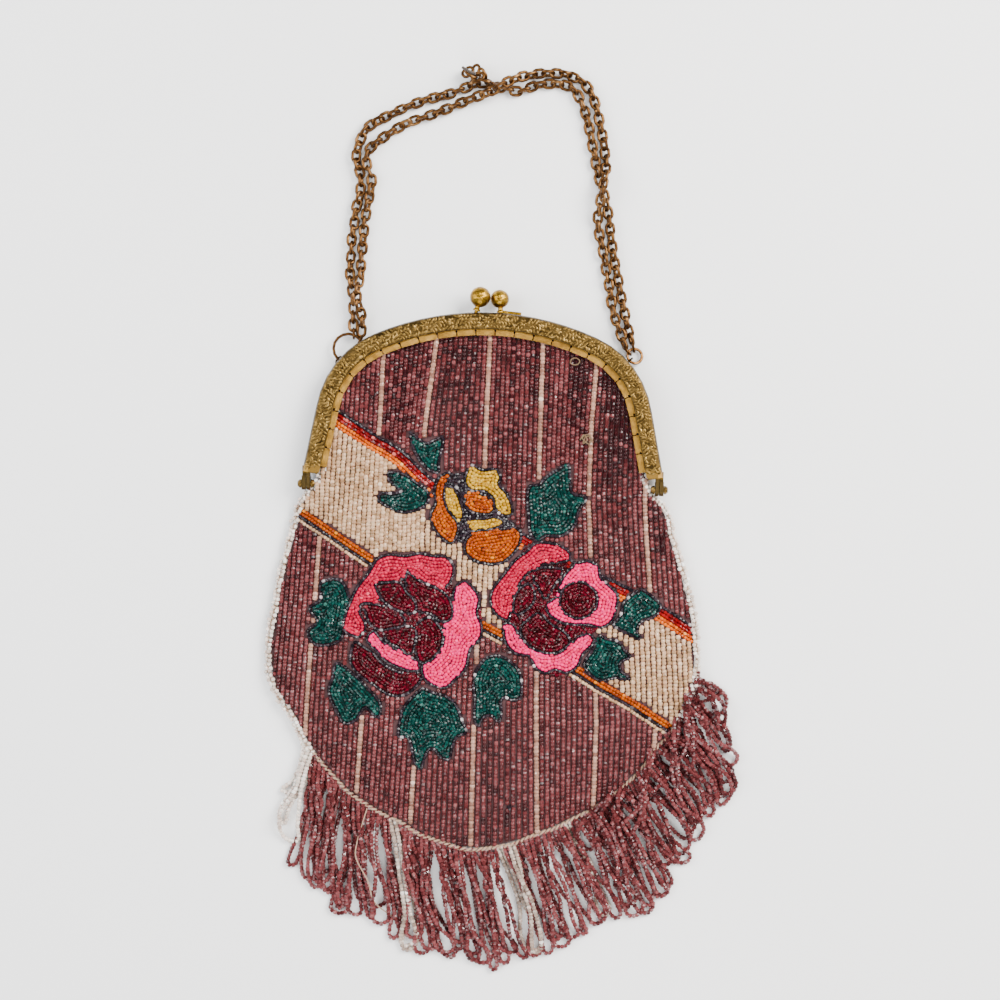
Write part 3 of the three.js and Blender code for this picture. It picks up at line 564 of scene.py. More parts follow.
def bagFacing(x, y, front=True):
    # direction straight out of the bag's face
    step = 0.4
    dx = (bagLevel(x + step, y, front) - bagLevel(x - step, y, front)) / (2 * step)
    dy = (bagLevel(x, y + step, front) - bagLevel(x, y - step, front)) / (2 * step)
    out = np.stack([-dx, -dy, np.ones_like(dx)], axis=-1)
    return unit(out) * (1 if front else -1)


# Places read off the photograph, in its pixels, are turned into the purse's millimetres here
photo = {
    "pixel": 0.42,  # millimetres
    "hinges": (482.75, 486.8),  # the middle between the two rivets
    "tiltCos": 0.99983,  # the purse lies turned by about a degree
    "tiltSin": 0.01855,
}
enlarged = {  # parts of the photograph that were read enlarged: left, top, how many times
    "roses": (335, 540, 5.085),
    "gold rose": (370, 420, 6.52),
}


def fromPhoto(points, view=None):
    # to a tenth of a millimetre, as the reading is no finer
    left, top, times = enlarged[view] if view else (0, 0, 1)
    places = []
    for x, y in points:
        across = x / times + left - photo["hinges"][0]
        down = y / times + top - photo["hinges"][1]
        places.append((
            round((across * photo["tiltCos"] + down * photo["tiltSin"]) * photo["pixel"], 1),
            round((across * photo["tiltSin"] - down * photo["tiltCos"]) * photo["pixel"], 1)))
    return places


# The flower pattern: every petal and leaf by its edge, the uppermost first
petals = [
    {"part": "left rose, heart petal one", "beads": "crimson", "edge": [
        (376.3, 584.3), (388.9, 582), (400.4, 582), (407.3, 591.2), (416.4, 602.7), (415.3, 611.8),
        (402.7, 611.8), (388.9, 605), (380.8, 595.8),
    ]},
    {"part": "left rose, heart petal two", "beads": "crimson", "edge": [
        (407.3, 571.7), (418.7, 579.7), (430.2, 584.3), (441.7, 590), (449.7, 598.1), (453.2, 609.6),
        (450.9, 618.7), (441.7, 621), (432.5, 614.1), (419.9, 610.7), (417.6, 602.7), (407.3, 587.7),
    ]},
    {"part": "left rose, heart petal three", "beads": "crimson", "edge": [
        (362.5, 603.8), (377.4, 603.8), (391.2, 608.4), (405, 617.6), (405, 624.5), (393.5, 627.9),
        (379.7, 629.1), (370.5, 623.3), (365.9, 611.8),
    ]},
    {"part": "left rose, heart petal four", "beads": "crimson", "edge": [
        (384.3, 632.5), (398.1, 627.9), (411.8, 625.6), (416.4, 630.2), (415.3, 644), (410.7, 654.3),
        (400.4, 647.4), (388.9, 641.7),
    ]},
    {"part": "left rose, heart petal five", "beads": "crimson", "edge": [
        (417.6, 623.3), (430.2, 616.4), (438.3, 623.3), (442.8, 632.5), (441.7, 646.3), (433.7, 656.6),
        (422.2, 662.4), (416.4, 653.2), (416.4, 637.1),
    ]},
    {"part": "left rose, upper petal", "beads": "coral", "edge": [
        (343.5, 625.6), (346.4, 611.8), (351, 600.4), (357.9, 586.6), (369.4, 571.7), (377.4, 559),
        (388.9, 554.4), (406.1, 555.6), (418.7, 553.3), (434.8, 555.6), (446.3, 556.7), (453.8, 565.9),
        (453.2, 575.1), (448.6, 584.3), (441.7, 588.9), (434.8, 583.7), (425.6, 583.7), (418.7, 578.6),
        (410.7, 572.8), (400.4, 579.7), (388.9, 582), (376.3, 583.1), (380.8, 598.1), (374, 602.7),
        (362.5, 603.8), (360.2, 610.7), (365.9, 623.3), (365.9, 630.2), (357.9, 636), (347.6, 632.5),
    ]},
    {"part": "left rose, right petal", "beads": "pink", "edge": [
        (457.8, 584.3), (463.5, 580.8), (472.7, 586.6), (479.6, 598.1), (477.3, 611.8), (481.9, 625.6),
        (480.7, 637.1), (470.4, 648.6), (465.8, 667), (455.5, 678.4), (446.3, 686.5), (434.8, 685.3),
        (424.5, 677.3), (422.2, 667), (430.2, 660.1), (440.6, 649.7), (444, 634.8), (445.1, 623.3),
        (452, 619.9), (455.5, 611.8), (453.2, 594.6),
    ]},
    {"part": "left rose, lower petal", "beads": "pink", "edge": [
        (374, 630.2), (384.3, 641.7), (393.5, 647.4), (405, 652), (417.6, 661.2), (419.9, 668.1),
        (411.8, 670.4), (400.4, 667), (387.7, 661.2), (376.3, 649.7), (367.1, 638.3),
    ]},
    {"part": "left rose, bottom petal", "beads": "crimson", "edge": [
        (355.6, 641.7), (364.8, 646.3), (374, 653.2), (384.3, 663.5), (400.4, 671.6), (419.9, 672.7),
        (422.2, 676.1), (416.4, 685.3), (403.8, 694.5), (388.9, 693.4), (374, 684.2), (357.9, 672.7),
        (351, 661.2), (352.1, 648.6),
    ]},
    {"part": "right rose, heart", "beads": "crimson", "edge": [
        (578.2, 581.2), (587, 583.5), (594, 589.5), (597, 598), (595, 607.5), (589, 614.5), (580, 618),
        (571, 616.5), (563.5, 611), (559.5, 603), (560.5, 593.5), (565, 586),
    ]},
    {"part": "right rose, ring petal", "beads": "pink", "edge": [
        (578.2, 562.4), (588, 561), (597.9, 566.7), (600.7, 577.9), (610.5, 586.3), (617.5, 594.7),
        (616.1, 607.3), (611.9, 620), (602.1, 627), (586.6, 624.2), (571.2, 624.2), (557.2, 620),
        (547.3, 611.6), (547.3, 603.1), (557.2, 594.7), (560, 582.1), (568.4, 569.5),
    ]},
    {"part": "right rose, upper crescent", "beads": "crimson", "edge": [
        (535, 570), (543, 567), (553, 567.5), (562, 569), (560, 577), (556, 583), (550, 592),
        (546, 598), (540.5, 593), (537.5, 586), (533.5, 581),
    ]},
    {"part": "right rose, left crescent", "beads": "crimson", "edge": [
        (516.5, 592), (522, 586), (529, 583.5), (534, 589), (534.7, 599), (530.5, 606), (523.5, 611.5),
        (518, 614), (513.7, 611.5), (513, 603), (514.4, 596),
    ]},
    {"part": "right rose, lower crescent", "beads": "crimson", "edge": [
        (522, 624), (528, 618.5), (536, 613), (543, 614.4), (547.4, 620), (554.4, 625.6),
        (562.8, 629.8), (567, 634), (569.8, 641), (564, 648), (555.8, 652.2), (546, 652.2),
        (536, 649.4), (527.7, 643.8), (522, 636.8), (520, 629.8),
    ]},
    {"part": "right rose, upper petal", "beads": "coral", "edge": [
        (569.8, 554), (562.8, 547), (550.2, 542.8), (536.1, 542.8), (526.3, 551.2), (513.7, 561),
        (503.9, 573.7), (492.6, 589.1), (490.5, 600.3), (495.4, 613), (508.1, 620), (510.9, 610.2),
        (513.7, 596.1), (520.7, 582.1), (531.9, 569.5), (544.5, 563.9), (558.6, 562.5), (568.4, 559.6),
    ]},
    {"part": "right rose, lower petal", "beads": "pink", "edge": [
        (505.3, 622.8), (513.7, 624.2), (519.3, 636.8), (529.1, 648), (543.1, 653.7), (557.2, 652.2),
        (569.8, 643.8), (578.2, 635.4), (589.4, 634), (593.7, 638.2), (590.8, 645.2), (582.4, 653.7),
        (576.8, 666.3), (567, 671.9), (554.4, 669.1), (544.5, 672.6), (534.7, 666.3), (529.1, 655.1),
        (517.9, 653.7), (509.5, 648), (503.9, 635.4),
    ]},
    {"part": "gold rose, left petal", "beads": "amber", "edge": [
        (452.1, 474.3), (447.7, 472.8), (438.9, 478.7), (434.5, 490.4), (436, 502.1), (430.9, 515.3),
        (434.5, 528.6), (443.3, 538.8), (452.1, 543.2), (458, 531.5), (458, 522.7), (449.2, 510.9),
        (444.8, 499.2), (446.3, 484.5),
    ]},
    {"part": "gold rose, inner left petal", "beads": "straw", "edge": [
        (449.2, 486), (456.5, 491.9), (460.9, 502.1), (463.9, 515.3), (460.9, 521.2), (452.1, 515.3),
        (447.7, 503.6), (446.3, 493.3),
    ]},
    {"part": "gold rose, upper petal", "beads": "straw", "edge": [
        (472.7, 465.5), (481.5, 469.9), (496.2, 469.9), (500.6, 477.2), (499.1, 484.5), (506.4, 493.3),
        (512.3, 508), (510.8, 515.3), (502, 515.3), (494.7, 508), (493.2, 499.2), (484.4, 491.9),
        (471.2, 490.4), (465.3, 483.1), (466.8, 472.8),
    ]},
    {"part": "gold rose, heart", "beads": "amber", "edge": [
        (466.8, 493.3), (478.5, 493.3), (488.8, 497.7), (494.7, 508), (490.3, 513.9), (472.7, 512.4),
        (465.3, 505.1),
    ]},
    {"part": "gold rose, lower band", "beads": "straw", "edge": [
        (469.8, 519.7), (484.4, 518.3), (496.2, 516.8), (505, 522.7), (494.7, 528.5), (481.5, 530),
        (468.3, 530),
    ]},
    {"part": "gold rose, bottom petal", "beads": "amber", "edge": [
        (471.2, 534.4), (487.4, 531.5), (505, 528.5), (518.2, 528.5), (521.1, 537.3), (516.7, 549.1),
        (505, 560.8), (493.2, 563.8), (475.6, 560.8), (465.3, 552), (465.3, 541.8),
    ]},
    {"part": "leaf over the band", "beads": "green", "edge": [
        (411.1, 433.2), (418.4, 439.1), (427.2, 443.5), (434.5, 440.5), (443.3, 437.6), (441.9, 449.3),
        (438.9, 464), (438.9, 472.8), (427.2, 468.4), (416.9, 455.2), (412.5, 444.9),
    ]},
    {"part": "leaf left of the gold rose", "beads": "green", "edge": [
        (389.1, 472.8), (403.7, 474.3), (415.5, 481.6), (428.7, 493.3), (427.2, 503.6), (418.4, 509.5),
        (406.7, 512.4), (393.5, 509.5), (378.8, 499.2), (381.7, 493.3), (394.9, 493.3), (402.3, 490.4),
        (394.9, 486), (389.1, 478.7),
    ]},
    {"part": "leaf right of the gold rose", "beads": "green", "edge": [
        (568, 465.5), (569.5, 478.7), (572.4, 493.3), (585.6, 497.7), (578.3, 510.9), (573.9, 525.6),
        (560.7, 535.9), (546, 535.9), (535.8, 540.3), (529.9, 531.5), (528.4, 513.9), (527, 499.2),
        (529.9, 486), (538.7, 484.5), (544.6, 478.7), (554.8, 471.3),
    ]},
    {"part": "far right leaf, upper", "beads": "green", "edge": [
        (641.4, 589.1), (648.4, 593.3), (661, 605.9), (655.4, 615.8), (641.4, 621.4), (637.1, 629.8),
        (641.4, 639.6), (631.5, 635.4), (620.3, 629.8), (613.3, 624.2), (620.3, 614.4), (623.1, 603.1),
        (631.5, 594.7),
    ]},
    {"part": "far right leaf, lower", "beads": "green", "edge": [
        (599.3, 635.4), (606.3, 638.2), (617.5, 641), (624.5, 649.4), (630.1, 656.5), (620.3, 662.1),
        (620.3, 669.1), (628.7, 678.9), (614.7, 677.5), (600.7, 680.3), (589.4, 673.3), (583.8, 663.5),
        (592.2, 649.4),
    ]},
    {"part": "bottom leaf, middle", "beads": "green", "edge": [
        (423, 687.8), (433.6, 691.7), (447, 695.5), (456.5, 705), (463.2, 722.3), (466.1, 730.9),
        (456.5, 736.6), (452.7, 745.2), (448.9, 758.6), (441.2, 756.7), (433.6, 748.1), (427.8, 750),
        (424, 759.6), (420.2, 769.1), (414.4, 760.5), (411.6, 745.2), (407.7, 736.6), (399.1, 735.7),
        (399.1, 726.1), (403.9, 707), (413.5, 695.5),
    ]},
    {"part": "bottom leaf, right", "beads": "green", "edge": [
        (488.1, 656.3), (499.6, 655.3), (512, 662), (519.7, 672.5), (521.6, 687.8), (519.7, 697.4),
        (512, 699.3), (504.4, 696.4), (500.5, 701.2), (501.5, 710.8), (498.6, 721.3), (491, 714.6),
        (483.3, 716.5), (477.6, 726.1), (474.7, 716.5), (474.7, 697.4), (473.8, 680.2), (478.5, 665.8),
    ]},
    {"part": "left leaf, upper", "beads": "green", "edge": [
        (320.6, 582.9), (339.7, 579.7), (349.3, 595.7), (346.1, 621.2), (339.7, 640.3), (314.2, 643.5),
        (307.8, 630.7), (317.4, 621.2), (309.4, 608.4), (320.6, 598.9),
    ]},
    {"part": "left leaf, lower", "beads": "green", "edge": [
        (336.5, 662.6), (352.5, 672.2), (368.4, 688.1), (381.2, 704.1), (378, 716.8), (365.2, 707.3),
        (355.7, 720), (344.5, 723.2), (336.5, 710.5), (328.6, 691.3), (333.3, 675.4),
    ]},
    {"part": "left rose, under its petals", "beads": "crimson", "outlined": False,
     "view": "roses", "edge": [
        (60, 440), (75, 300), (175, 165), (215, 97), (275, 73), (425, 68), (565, 85), (600, 135),
        (590, 200), (600, 250), (655, 210), (730, 290), (740, 440), (690, 550), (665, 645), (565, 740),
        (455, 700), (435, 670), (330, 640), (160, 500), (110, 480),
    ]},
    {"part": "right rose, under its petals", "beads": "crimson", "outlined": False,
     "view": "roses", "edge": [
        (1195, 70), (1150, 30), (1020, 15), (910, 105), (800, 250), (790, 305), (815, 370), (860, 420),
        (858, 485), (885, 550), (985, 585), (1065, 672), (1180, 670), (1260, 575), (1295, 480),
        (1410, 405), (1437, 280), (1350, 190), (1288, 107), (1235, 115), (1170, 150),
    ]},
    {"part": "gold rose, between its petals", "beads": "steel", "outlined": False,
     "view": "gold rose", "edge": [
        (540, 360), (600, 350), (635, 345), (625, 410), (655, 460), (790, 500), (860, 620), (960, 700),
        (880, 707), (650, 745), (620, 790), (590, 800), (575, 670), (610, 620), (565, 470), (520, 430),
    ]},
]

for petal in petals:
    edge = fromPhoto(petal["edge"], petal.get("view"))
    petal["line"] = evenLine(smoothLine(edge, closed=True), 0.3)[:-1]

bandEdges = {
    "upper": fromPhoto([
        (330, 412), (337, 416), (370, 437.6), (399, 455), (429, 483), (470, 508),
        (560, 560), (625, 592), (661, 611.6), (692, 631.2), (705, 638),
    ]),
    "lower": fromPhoto([
        (296, 512), (307.8, 519), (340, 540), (371.6, 560.6), (430, 595),
        (500, 635), (572, 668), (600.7, 685.9), (630, 703), (669.4, 729.4), (682, 737),
    ]),
}
bandLines = [  # which edge of the cream band, how far above it, and the beads of the line
    ("upper", 2.0, "steel"), ("upper", 0.6, "ruby"), ("upper", -0.8, "ruby"),
    ("upper", -2.2, "orange"), ("upper", -3.6, "orange"),
    ("lower", 1.6, "amber"), ("lower", 0.2, "amber"), ("lower", -1.2, "steel"), ("lower", -2.6, "cream"),
]
stripes = [  # how far up, then the x of each pale stripe at that height
    (61.7, -64, -42.4, -20.4, 1.9, 24.2, 47.3, 69.5),
    (24, -66, -43.6, -24.7, 0.9, 23.6, 45, 68.1),
    (-5.5, -67.4, -44.9, -24.8, 0.6, 23.3, 44.3, 68.2),
    (-47.6, -69.6, -46.9, -25, -0.7, 23.5, 47, 71.5),
    (-98, -72.8, -48.9, -25.8, -1.9, 24.2, 49.4, 74.6),
    (-152.8, -74.8, -52.5, -28.6, -2.4, 25.8, 48.9, 73.1),
]
beadwork = {
    "columnsPerStripe": 11,
    "radius": 0.98,
    "length": 1.56,
    "pitch": 1.56,
    "petalPitch": 1.36,
    "petalRow": 1.4,
    "petalSize": 0.8,
    "lineSize": 0.76,
    "clear": 1.45,  # least distance between two beads of the ground
    "petalClear": 1.16,
    "gapClear": 0.93,
    "gapSearch": 0.45,  # how finely the gaps are looked for
    "outlineExtra": 0.08,  # added to the clearance along a petal's outline
    "columns": (-14, 81),  # first column and the one after the last
    "top": 66.0,
    "bottom": -153,
    "skip": 0.2,  # how far down to try again where no bead fits
    "sizes": {"blush": 1.2, "cream": 1.13},
    "sink": 0.98,  # bead's middle under the bag's face
    "backSink": 0.2,  # more than that at the back, which lies on the table
    # how strongly the folds and pleats are painted as shade into the mauve beads' tone
    "paintedFoldShade": 4.6,
}


def columnX(column, y):
    levels = [row[0] for row in stripes][::-1]
    count = len(stripes[0]) - 1
    at = column / beadwork["columnsPerStripe"]
    low = int(min(max(math.floor(at), 0), count - 2))
    left = np.interp(y, levels, [row[1 + low] for row in stripes][::-1])
    right = np.interp(y, levels, [row[2 + low] for row in stripes][::-1])
    return left + (right - left) * (at - low)


def insideOf(points, line):
    x, y = points[:, 0][:, None], points[:, 1][:, None]
    x0, y0 = line[:, 0][None, :], line[:, 1][None, :]
    x1, y1 = np.roll(line[:, 0], -1)[None, :], np.roll(line[:, 1], -1)[None, :]
    crosses = (y0 > y) != (y1 > y)
    rise = np.where(y1 == y0, 1e-9, y1 - y0)
    return (np.sum(crosses & (x < (x1 - x0) * (y - y0) / rise + x0), axis=1) % 2) == 1


# A map of which petal covers each quarter of a millimetre
mapStep = 0.25
mapLow = np.array([-100.0, -160.0])
mapSize = (int(200 / mapStep), int(250 / mapStep))
petalMap = np.full(mapSize, -1, np.int16)
for index, petal in enumerate(petals):
    low = np.floor((petal["line"].min(0) - mapLow) / mapStep).astype(int)
    high = np.ceil((petal["line"].max(0) - mapLow) / mapStep).astype(int)
    columns, rows = np.meshgrid(np.arange(low[0], high[0]), np.arange(low[1], high[1]), indexing="ij")
    spots = np.column_stack([columns.ravel(), rows.ravel()])
    covered = insideOf(spots * mapStep + mapLow, petal["line"]) & (petalMap[spots[:, 0], spots[:, 1]] < 0)
    petalMap[spots[covered, 0], spots[covered, 1]] = index


def petalAt(x, y):
    column, row = int(round((x - mapLow[0]) / mapStep)), int(round((y - mapLow[1]) / mapStep))
    inside = 0 <= column < mapSize[0] and 0 <= row < mapSize[1]
    return petalMap[column, row] if inside else -1


class BeadField:
    # beads laid so far, kept by place so that two never share a spot
    def __init__(self):
        self.cells = {}
        self.beads = []

    def free(self, x, y, gap):
        column, row = int(x // 2), int(y // 2)
        for i in (column - 1, column, column + 1):
            for j in (row - 1, row, row + 1):
                for bx, by in self.cells.get((i, j), ()):
                    if (bx - x) ** 2 + (by - y) ** 2 < gap * gap:
                        return False
        return True

    def lay(self, x, y, turn, kind, size=1.0):
        self.cells.setdefault((int(x // 2), int(y // 2)), []).append((x, y))
        self.beads.append((x, y, turn, kind, size))

    def layAlong(self, line, kind, pitch, gap, allowed=None, size=1.0):
        # walks a line and lays a bead wherever there is room
        line = evenLine(line, 0.15)
        travelled = pitch
        for i in range(len(line) - 1):
            x, y = line[i]
            if travelled >= pitch and (allowed is None or allowed(x, y)) and self.free(x, y, gap):
                ahead = line[min(i + 3, len(line) - 1)] - line[max(i - 3, 0)]
                self.lay(x, y, math.atan2(ahead[1], ahead[0]), kind, size)
                travelled = 0
            travelled += 0.15


def onBag(x, y):
    share, mouth = bagShare(x, y)
    return share < 0.997


frontField = BeadField()
clear, petalClear = beadwork["clear"], beadwork["petalClear"]
petalSize, lineSize = beadwork["petalSize"], beadwork["lineSize"]
for index, petal in enumerate(petals):  # outlines first
    if not petal.get("outlined", True):
        continue
    around = np.vstack([petal["line"], petal["line"][:1]])
    apart = petalClear + beadwork["outlineExtra"]
    frontField.layAlong(around, "steel", beadwork["petalPitch"], apart, size=lineSize)


def insetLine(line, inset):
    # the edge moved inwards, without the stretches that would cross themselves
    tangent = unit(np.roll(line, -1, axis=0) - np.roll(line, 1, axis=0))
    area = np.sum(line[:, 0] * np.roll(line[:, 1], -1) - np.roll(line[:, 0], -1) * line[:, 1])
    inward = np.column_stack([-tangent[:, 1], tangent[:, 0]]) * (1 if area > 0 else -1)
    moved = line + inward * inset
    gaps = np.linalg.norm(moved[:, None, :] - line[None, :, :], axis=2).min(axis=1)
    return moved[gaps > inset - 0.12]


for index, petal in enumerate(petals):
    own = lambda x, y, index=index: petalAt(x, y) == index
    for ring in range(1, 12):
        inner = insetLine(petal["line"], beadwork["petalRow"] * ring)
        if len(inner) < 3:
            break
        frontField.layAlong(inner, petal["beads"], beadwork["petalPitch"], petalClear, own, petalSize)
    # the gaps left in the middle
    low, high = petal["line"].min(0), petal["line"].max(0)
    for x in np.arange(low[0], high[0], beadwork["gapSearch"]):
        for y in np.arange(low[1], high[1], beadwork["gapSearch"]):
            if own(x, y) and frontField.free(x, y, beadwork["gapClear"]):
                nearest = np.argmin(np.sum((petal["line"] - (x, y)) ** 2, axis=1))
                ahead = petal["line"][(nearest + 2) % len(petal["line"])] - petal["line"][nearest]
                frontField.lay(x, y, math.atan2(ahead[1], ahead[0]), petal["beads"], petalSize)
print("petals laid:", len(frontField.beads), "beads")


def besidePetals(x, y):
    return petalAt(x, y) < 0 and onBag(x, y)


for edge, rise, kind in bandLines:
    line = evenLine(smoothLine(bandEdges[edge]), 0.5)
    tangent = unit(np.gradient(line, axis=0))
    line = line + np.column_stack([-tangent[:, 1], tangent[:, 0]]) * rise
    frontField.layAlong(line, kind, beadwork["petalPitch"], petalClear, besidePetals, petalSize)

bandUpper = evenLine(smoothLine(bandEdges["upper"]), 1.0)
bandLower = evenLine(smoothLine(bandEdges["lower"]), 1.0)


def stripeKind(column):
    # one pale column in eleven
    return "blush" if column % beadwork["columnsPerStripe"] == 0 else "mauve"


def groundKind(column, x, y):
    if np.interp(x, bandLower[:, 0], bandLower[:, 1]) < y < np.interp(x, bandUpper[:, 0], bandUpper[:, 1]):
        return "cream"
    return stripeKind(column)


def layColumns(field):
    for column in range(*beadwork["columns"]):
        y = beadwork["top"] + chance.uniform(0, 1)
        while y > beadwork["bottom"]:
            x = float(columnX(column, y))
            if besidePetals(x, y) and field.free(x, y, clear):
                kind = groundKind(column, x, y)
                lean = float(columnX(column, y + 1)) - x
                size = beadwork["sizes"].get(kind, 1.0)
                field.lay(x, y, math.atan2(1, lean), kind, size)
                y -= beadwork["pitch"] + chance.normal(0, 0.03)
            else:
                y -= beadwork["skip"]


frontField.lay(13.9, -134.7, math.pi / 2, "steel", 1.1)  # one dark bead strayed into the ground
layColumns(frontField)
print("front laid:", len(frontField.beads), "beads")


strandPlaces = np.arange(-110, 111, 1.9)
strandTones = chance.normal(0, 0.09, len(strandPlaces))
smoothShare = {  # share of the beads of each kind without cut faces
    "pink": 1, "coral": 1, "straw": 1, "amber": 1, "orange": 1, "cream": 0.65, "blush": 0.6,
    "mauve": 0.68, "crimson": 0.5, "green": 0.35, "steel": 0.2,
}
paintedPleatShading = [  # painted shade in the darkest pleats beside the frame, and painted highlight on the ridges where depth is below nought: place, width, top, bottom, depth
    (0.44, 0.045, 0.46, 0.02, 0.19), (0.64, 0.06, 0.42, -0.08, 0.20), (-0.05, 0.05, 0.46, 0.15, 0.06),
    (-0.32, 0.05, 0.46, 0.15, 0.06), (0.22, 0.05, 0.46, 0.15, 0.06), (0.36, 0.04, 0.46, 0.05, -0.05),
    (0.54, 0.04, 0.42, -0.1, -0.06),
]


def fieldBeads(field, front, radius, length):
    table = np.array([(b[0], b[1], b[2], b[4]) for b in field.beads])
    kinds = np.array([b[3] for b in field.beads])
    x, y, turn, size = table.T
    out = bagFacing(x, y, front)
    level = bagLevel(x, y, front)
    sink = beadwork["sink"] + (0 if front else beadwork["backSink"])
    place = np.column_stack([x, y, level]) - out * sink
    along = np.column_stack([np.cos(turn), np.sin(turn), np.zeros(len(x))])
    loose = np.where(kinds == "cream", 2.0, 1.0)[:, None]
    along += chance.normal(0, 0.07, along.shape) * loose
    place += chance.normal(0, 0.05, place.shape) * loose
    along -= out * np.sum(along * out, axis=1, keepdims=True)
    radii = radius * size * chance.normal(1, 0.04, len(x))
    lengths = length * (0.46 + size * 0.6) * chance.normal(1, 0.03, len(x))
    # each strand's own random tone, from which the painted shade of the folds and pleats is taken below
    strandToneAndFoldShade = np.interp(x, strandPlaces, strandTones)
    tones = chance.random(len(x)) * 0.99
    ground = (kinds == "mauve") & (tones < 0.93)
    for at, width, top, bottom, depth in folds + paintedPleatShading:  # painted shade down the folds and pleats, painted highlight where a depth is below nought
        across = (x / bag["halfWidth"] - at) / width
        within = smoothStep(y, bottom * bag["depth"], top * bag["depth"])
        strandToneAndFoldShade = strandToneAndFoldShade - beadwork["paintedFoldShade"] * depth * within * np.exp(-across * across)
    tones = np.where(ground, np.clip(tones * 0.8 + 0.12 + strandToneAndFoldShade, 0, 0.93), tones)
    beads = {}
    for i in range(len(x)):
        beads.setdefault(kinds[i], []).append(
            (place[i], along[i], out[i], radii[i], lengths[i], tones[i]))
    return beads


for kind, beads in fieldBeads(frontField, True, beadwork["radius"], beadwork["length"]).items():
    if kind == "mauve":  # two pieces, above and below the band
        middle = lambda b: np.interp(b[0][0], bandLower[:, 0], bandLower[:, 1])
        upper = [b for b in beads if b[0][1] > middle(b)]
        lower = [b for b in beads if b[0][1] <= middle(b)]
        beadPiece("mauve_ground_upper", upper, 7, kind, "beadwork", smoothShare[kind])
        beadPiece("mauve_ground_lower", lower, 7, kind, "beadwork", smoothShare[kind])
    else:
        sides = 7 if kind in ("steel", "green", "crimson") else 8
        beadPiece(f"{kind}_beads", beads, sides, kind, "beadwork", smoothShare.get(kind, 0))

backField = BeadField()
for column in range(*beadwork["columns"]):
    y = beadwork["top"] + chance.uniform(0, 1)
    while y > beadwork["bottom"]:
        x = float(columnX(column, y))
        if onBag(x, y):
            backField.lay(x, y, math.pi / 2, stripeKind(column))
            y -= beadwork["pitch"]
        else:
            y -= beadwork["skip"]
for kind, beads in fieldBeads(backField, False, beadwork["radius"], beadwork["length"]).items():
    if kind == "mauve":
        middle = bag["middle"]
        beadPiece("mauve_back_upper", [b for b in beads if b[0][1] > middle], 5, kind, "beadwork")
        beadPiece("mauve_back_lower", [b for b in beads if b[0][1] <= middle], 5, kind, "beadwork")
    else:
        beadPiece(f"{kind}_back_stripes", beads, 5, kind, "beadwork")
print("back laid:", len(backField.beads), "beads")


# The cloth that the beads are sewn to, one sheet for each face
cloth = {"cells": 56, "under": 1.4, "thickness": 0.55}


def clothSheet(name, front):
    def place(u, v):
        # the grid's square drawn round to the bag's outline
        across, down = u * np.sqrt(1 - v * v / 2), v * np.sqrt(1 - u * u / 2)
        reach = np.interp(np.arctan2(down, across), edgeTurn, edgeReach, period=2 * math.pi)
        x, y = across * reach, bag["middle"] + down * reach
        return np.column_stack([x, y, bagLevel(x, y, front)]) - bagFacing(x, y, front) * cloth["under"]

    piece = sheetPiece(name, (cloth["cells"], cloth["cells"]), place, cloth["thickness"], -1 if front else 1,
                       groundCloth)
    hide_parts("bag_panel_front" if front else "bag_panel_back")
    return piece


frontCloth = clothSheet("front_cloth", True)
backCloth = clothSheet("back_cloth", False)
print("cloth made")


# The thread cord round the seam, two plies twisted together
seam = {"offset": 0.9, "level": 2.7, "ply": 0.52, "twist": 4.6, "waver": 0.25}
seamPath = evenLine(seamLine(seam["offset"]), 0.55)
seamPath += seam["waver"] * np.sin(np.arange(len(seamPath))[:, None] * (0.21, 0.17))
seamPlies = []
for ply in (0, math.pi):
    turn = np.arange(len(seamPath)) * 0.55 / seam["twist"] * 2 * math.pi + ply
    tangent = unit(np.gradient(seamPath, axis=0))
    side = np.column_stack([tangent[:, 1], -tangent[:, 0]])
    seamPlies.append(np.column_stack([
        seamPath + side * (np.cos(turn) * seam["ply"])[:, None],
        seam["level"] + np.sin(turn) * seam["ply"]]))
seamPiece = tubePiece("seam_thread", seamPlies, seam["ply"], seamThread)
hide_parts("seam_cord")

# Clear beads sewn over the seam at both sides
edging = {"pitch": 1.75, "offset": 1.9, "level": 2.9, "leftEnd": 0.30, "rightEnd": 0.26}
edgeStart = np.array([(-67.0, 8.0), (-69.0, 3.5)])  # up beside the hinge
edgePath = evenLine(smoothLine(np.vstack([
    edgeStart, seamLine(edging["offset"])[4::12], edgeStart[::-1] * (-1, 1)])), edging["pitch"])
edgeBeads = []
count = len(edgePath)
tangent = unit(np.gradient(edgePath, axis=0))
for i in range(count):
    share = i / (count - 1)
    if edging["leftEnd"] < share < 1 - edging["rightEnd"]:
        continue
    for row in range(2):
        wobble = chance.normal(0, 0.28, 3)
        out = np.array([tangent[i, 1], -tangent[i, 0], 0])
        level = edging["level"] + 4.5 * smoothStep(edgePath[i][1], -14, 2)
        place = np.array([*edgePath[i], level]) - out * 1.5 * row + (0, 0, 0.9 * row) + wobble
        along = np.array([*tangent[i], 0]) + chance.normal(0, 0.35, 3)
        edgeBeads.append((
            place, along, np.array([0, 0, 1.0]), chance.normal(0.88, 0.06), 1.4, chance.random()))
beadPiece("side_edging", edgeBeads, 8, "crystal", "beadwork")
print("seam made")


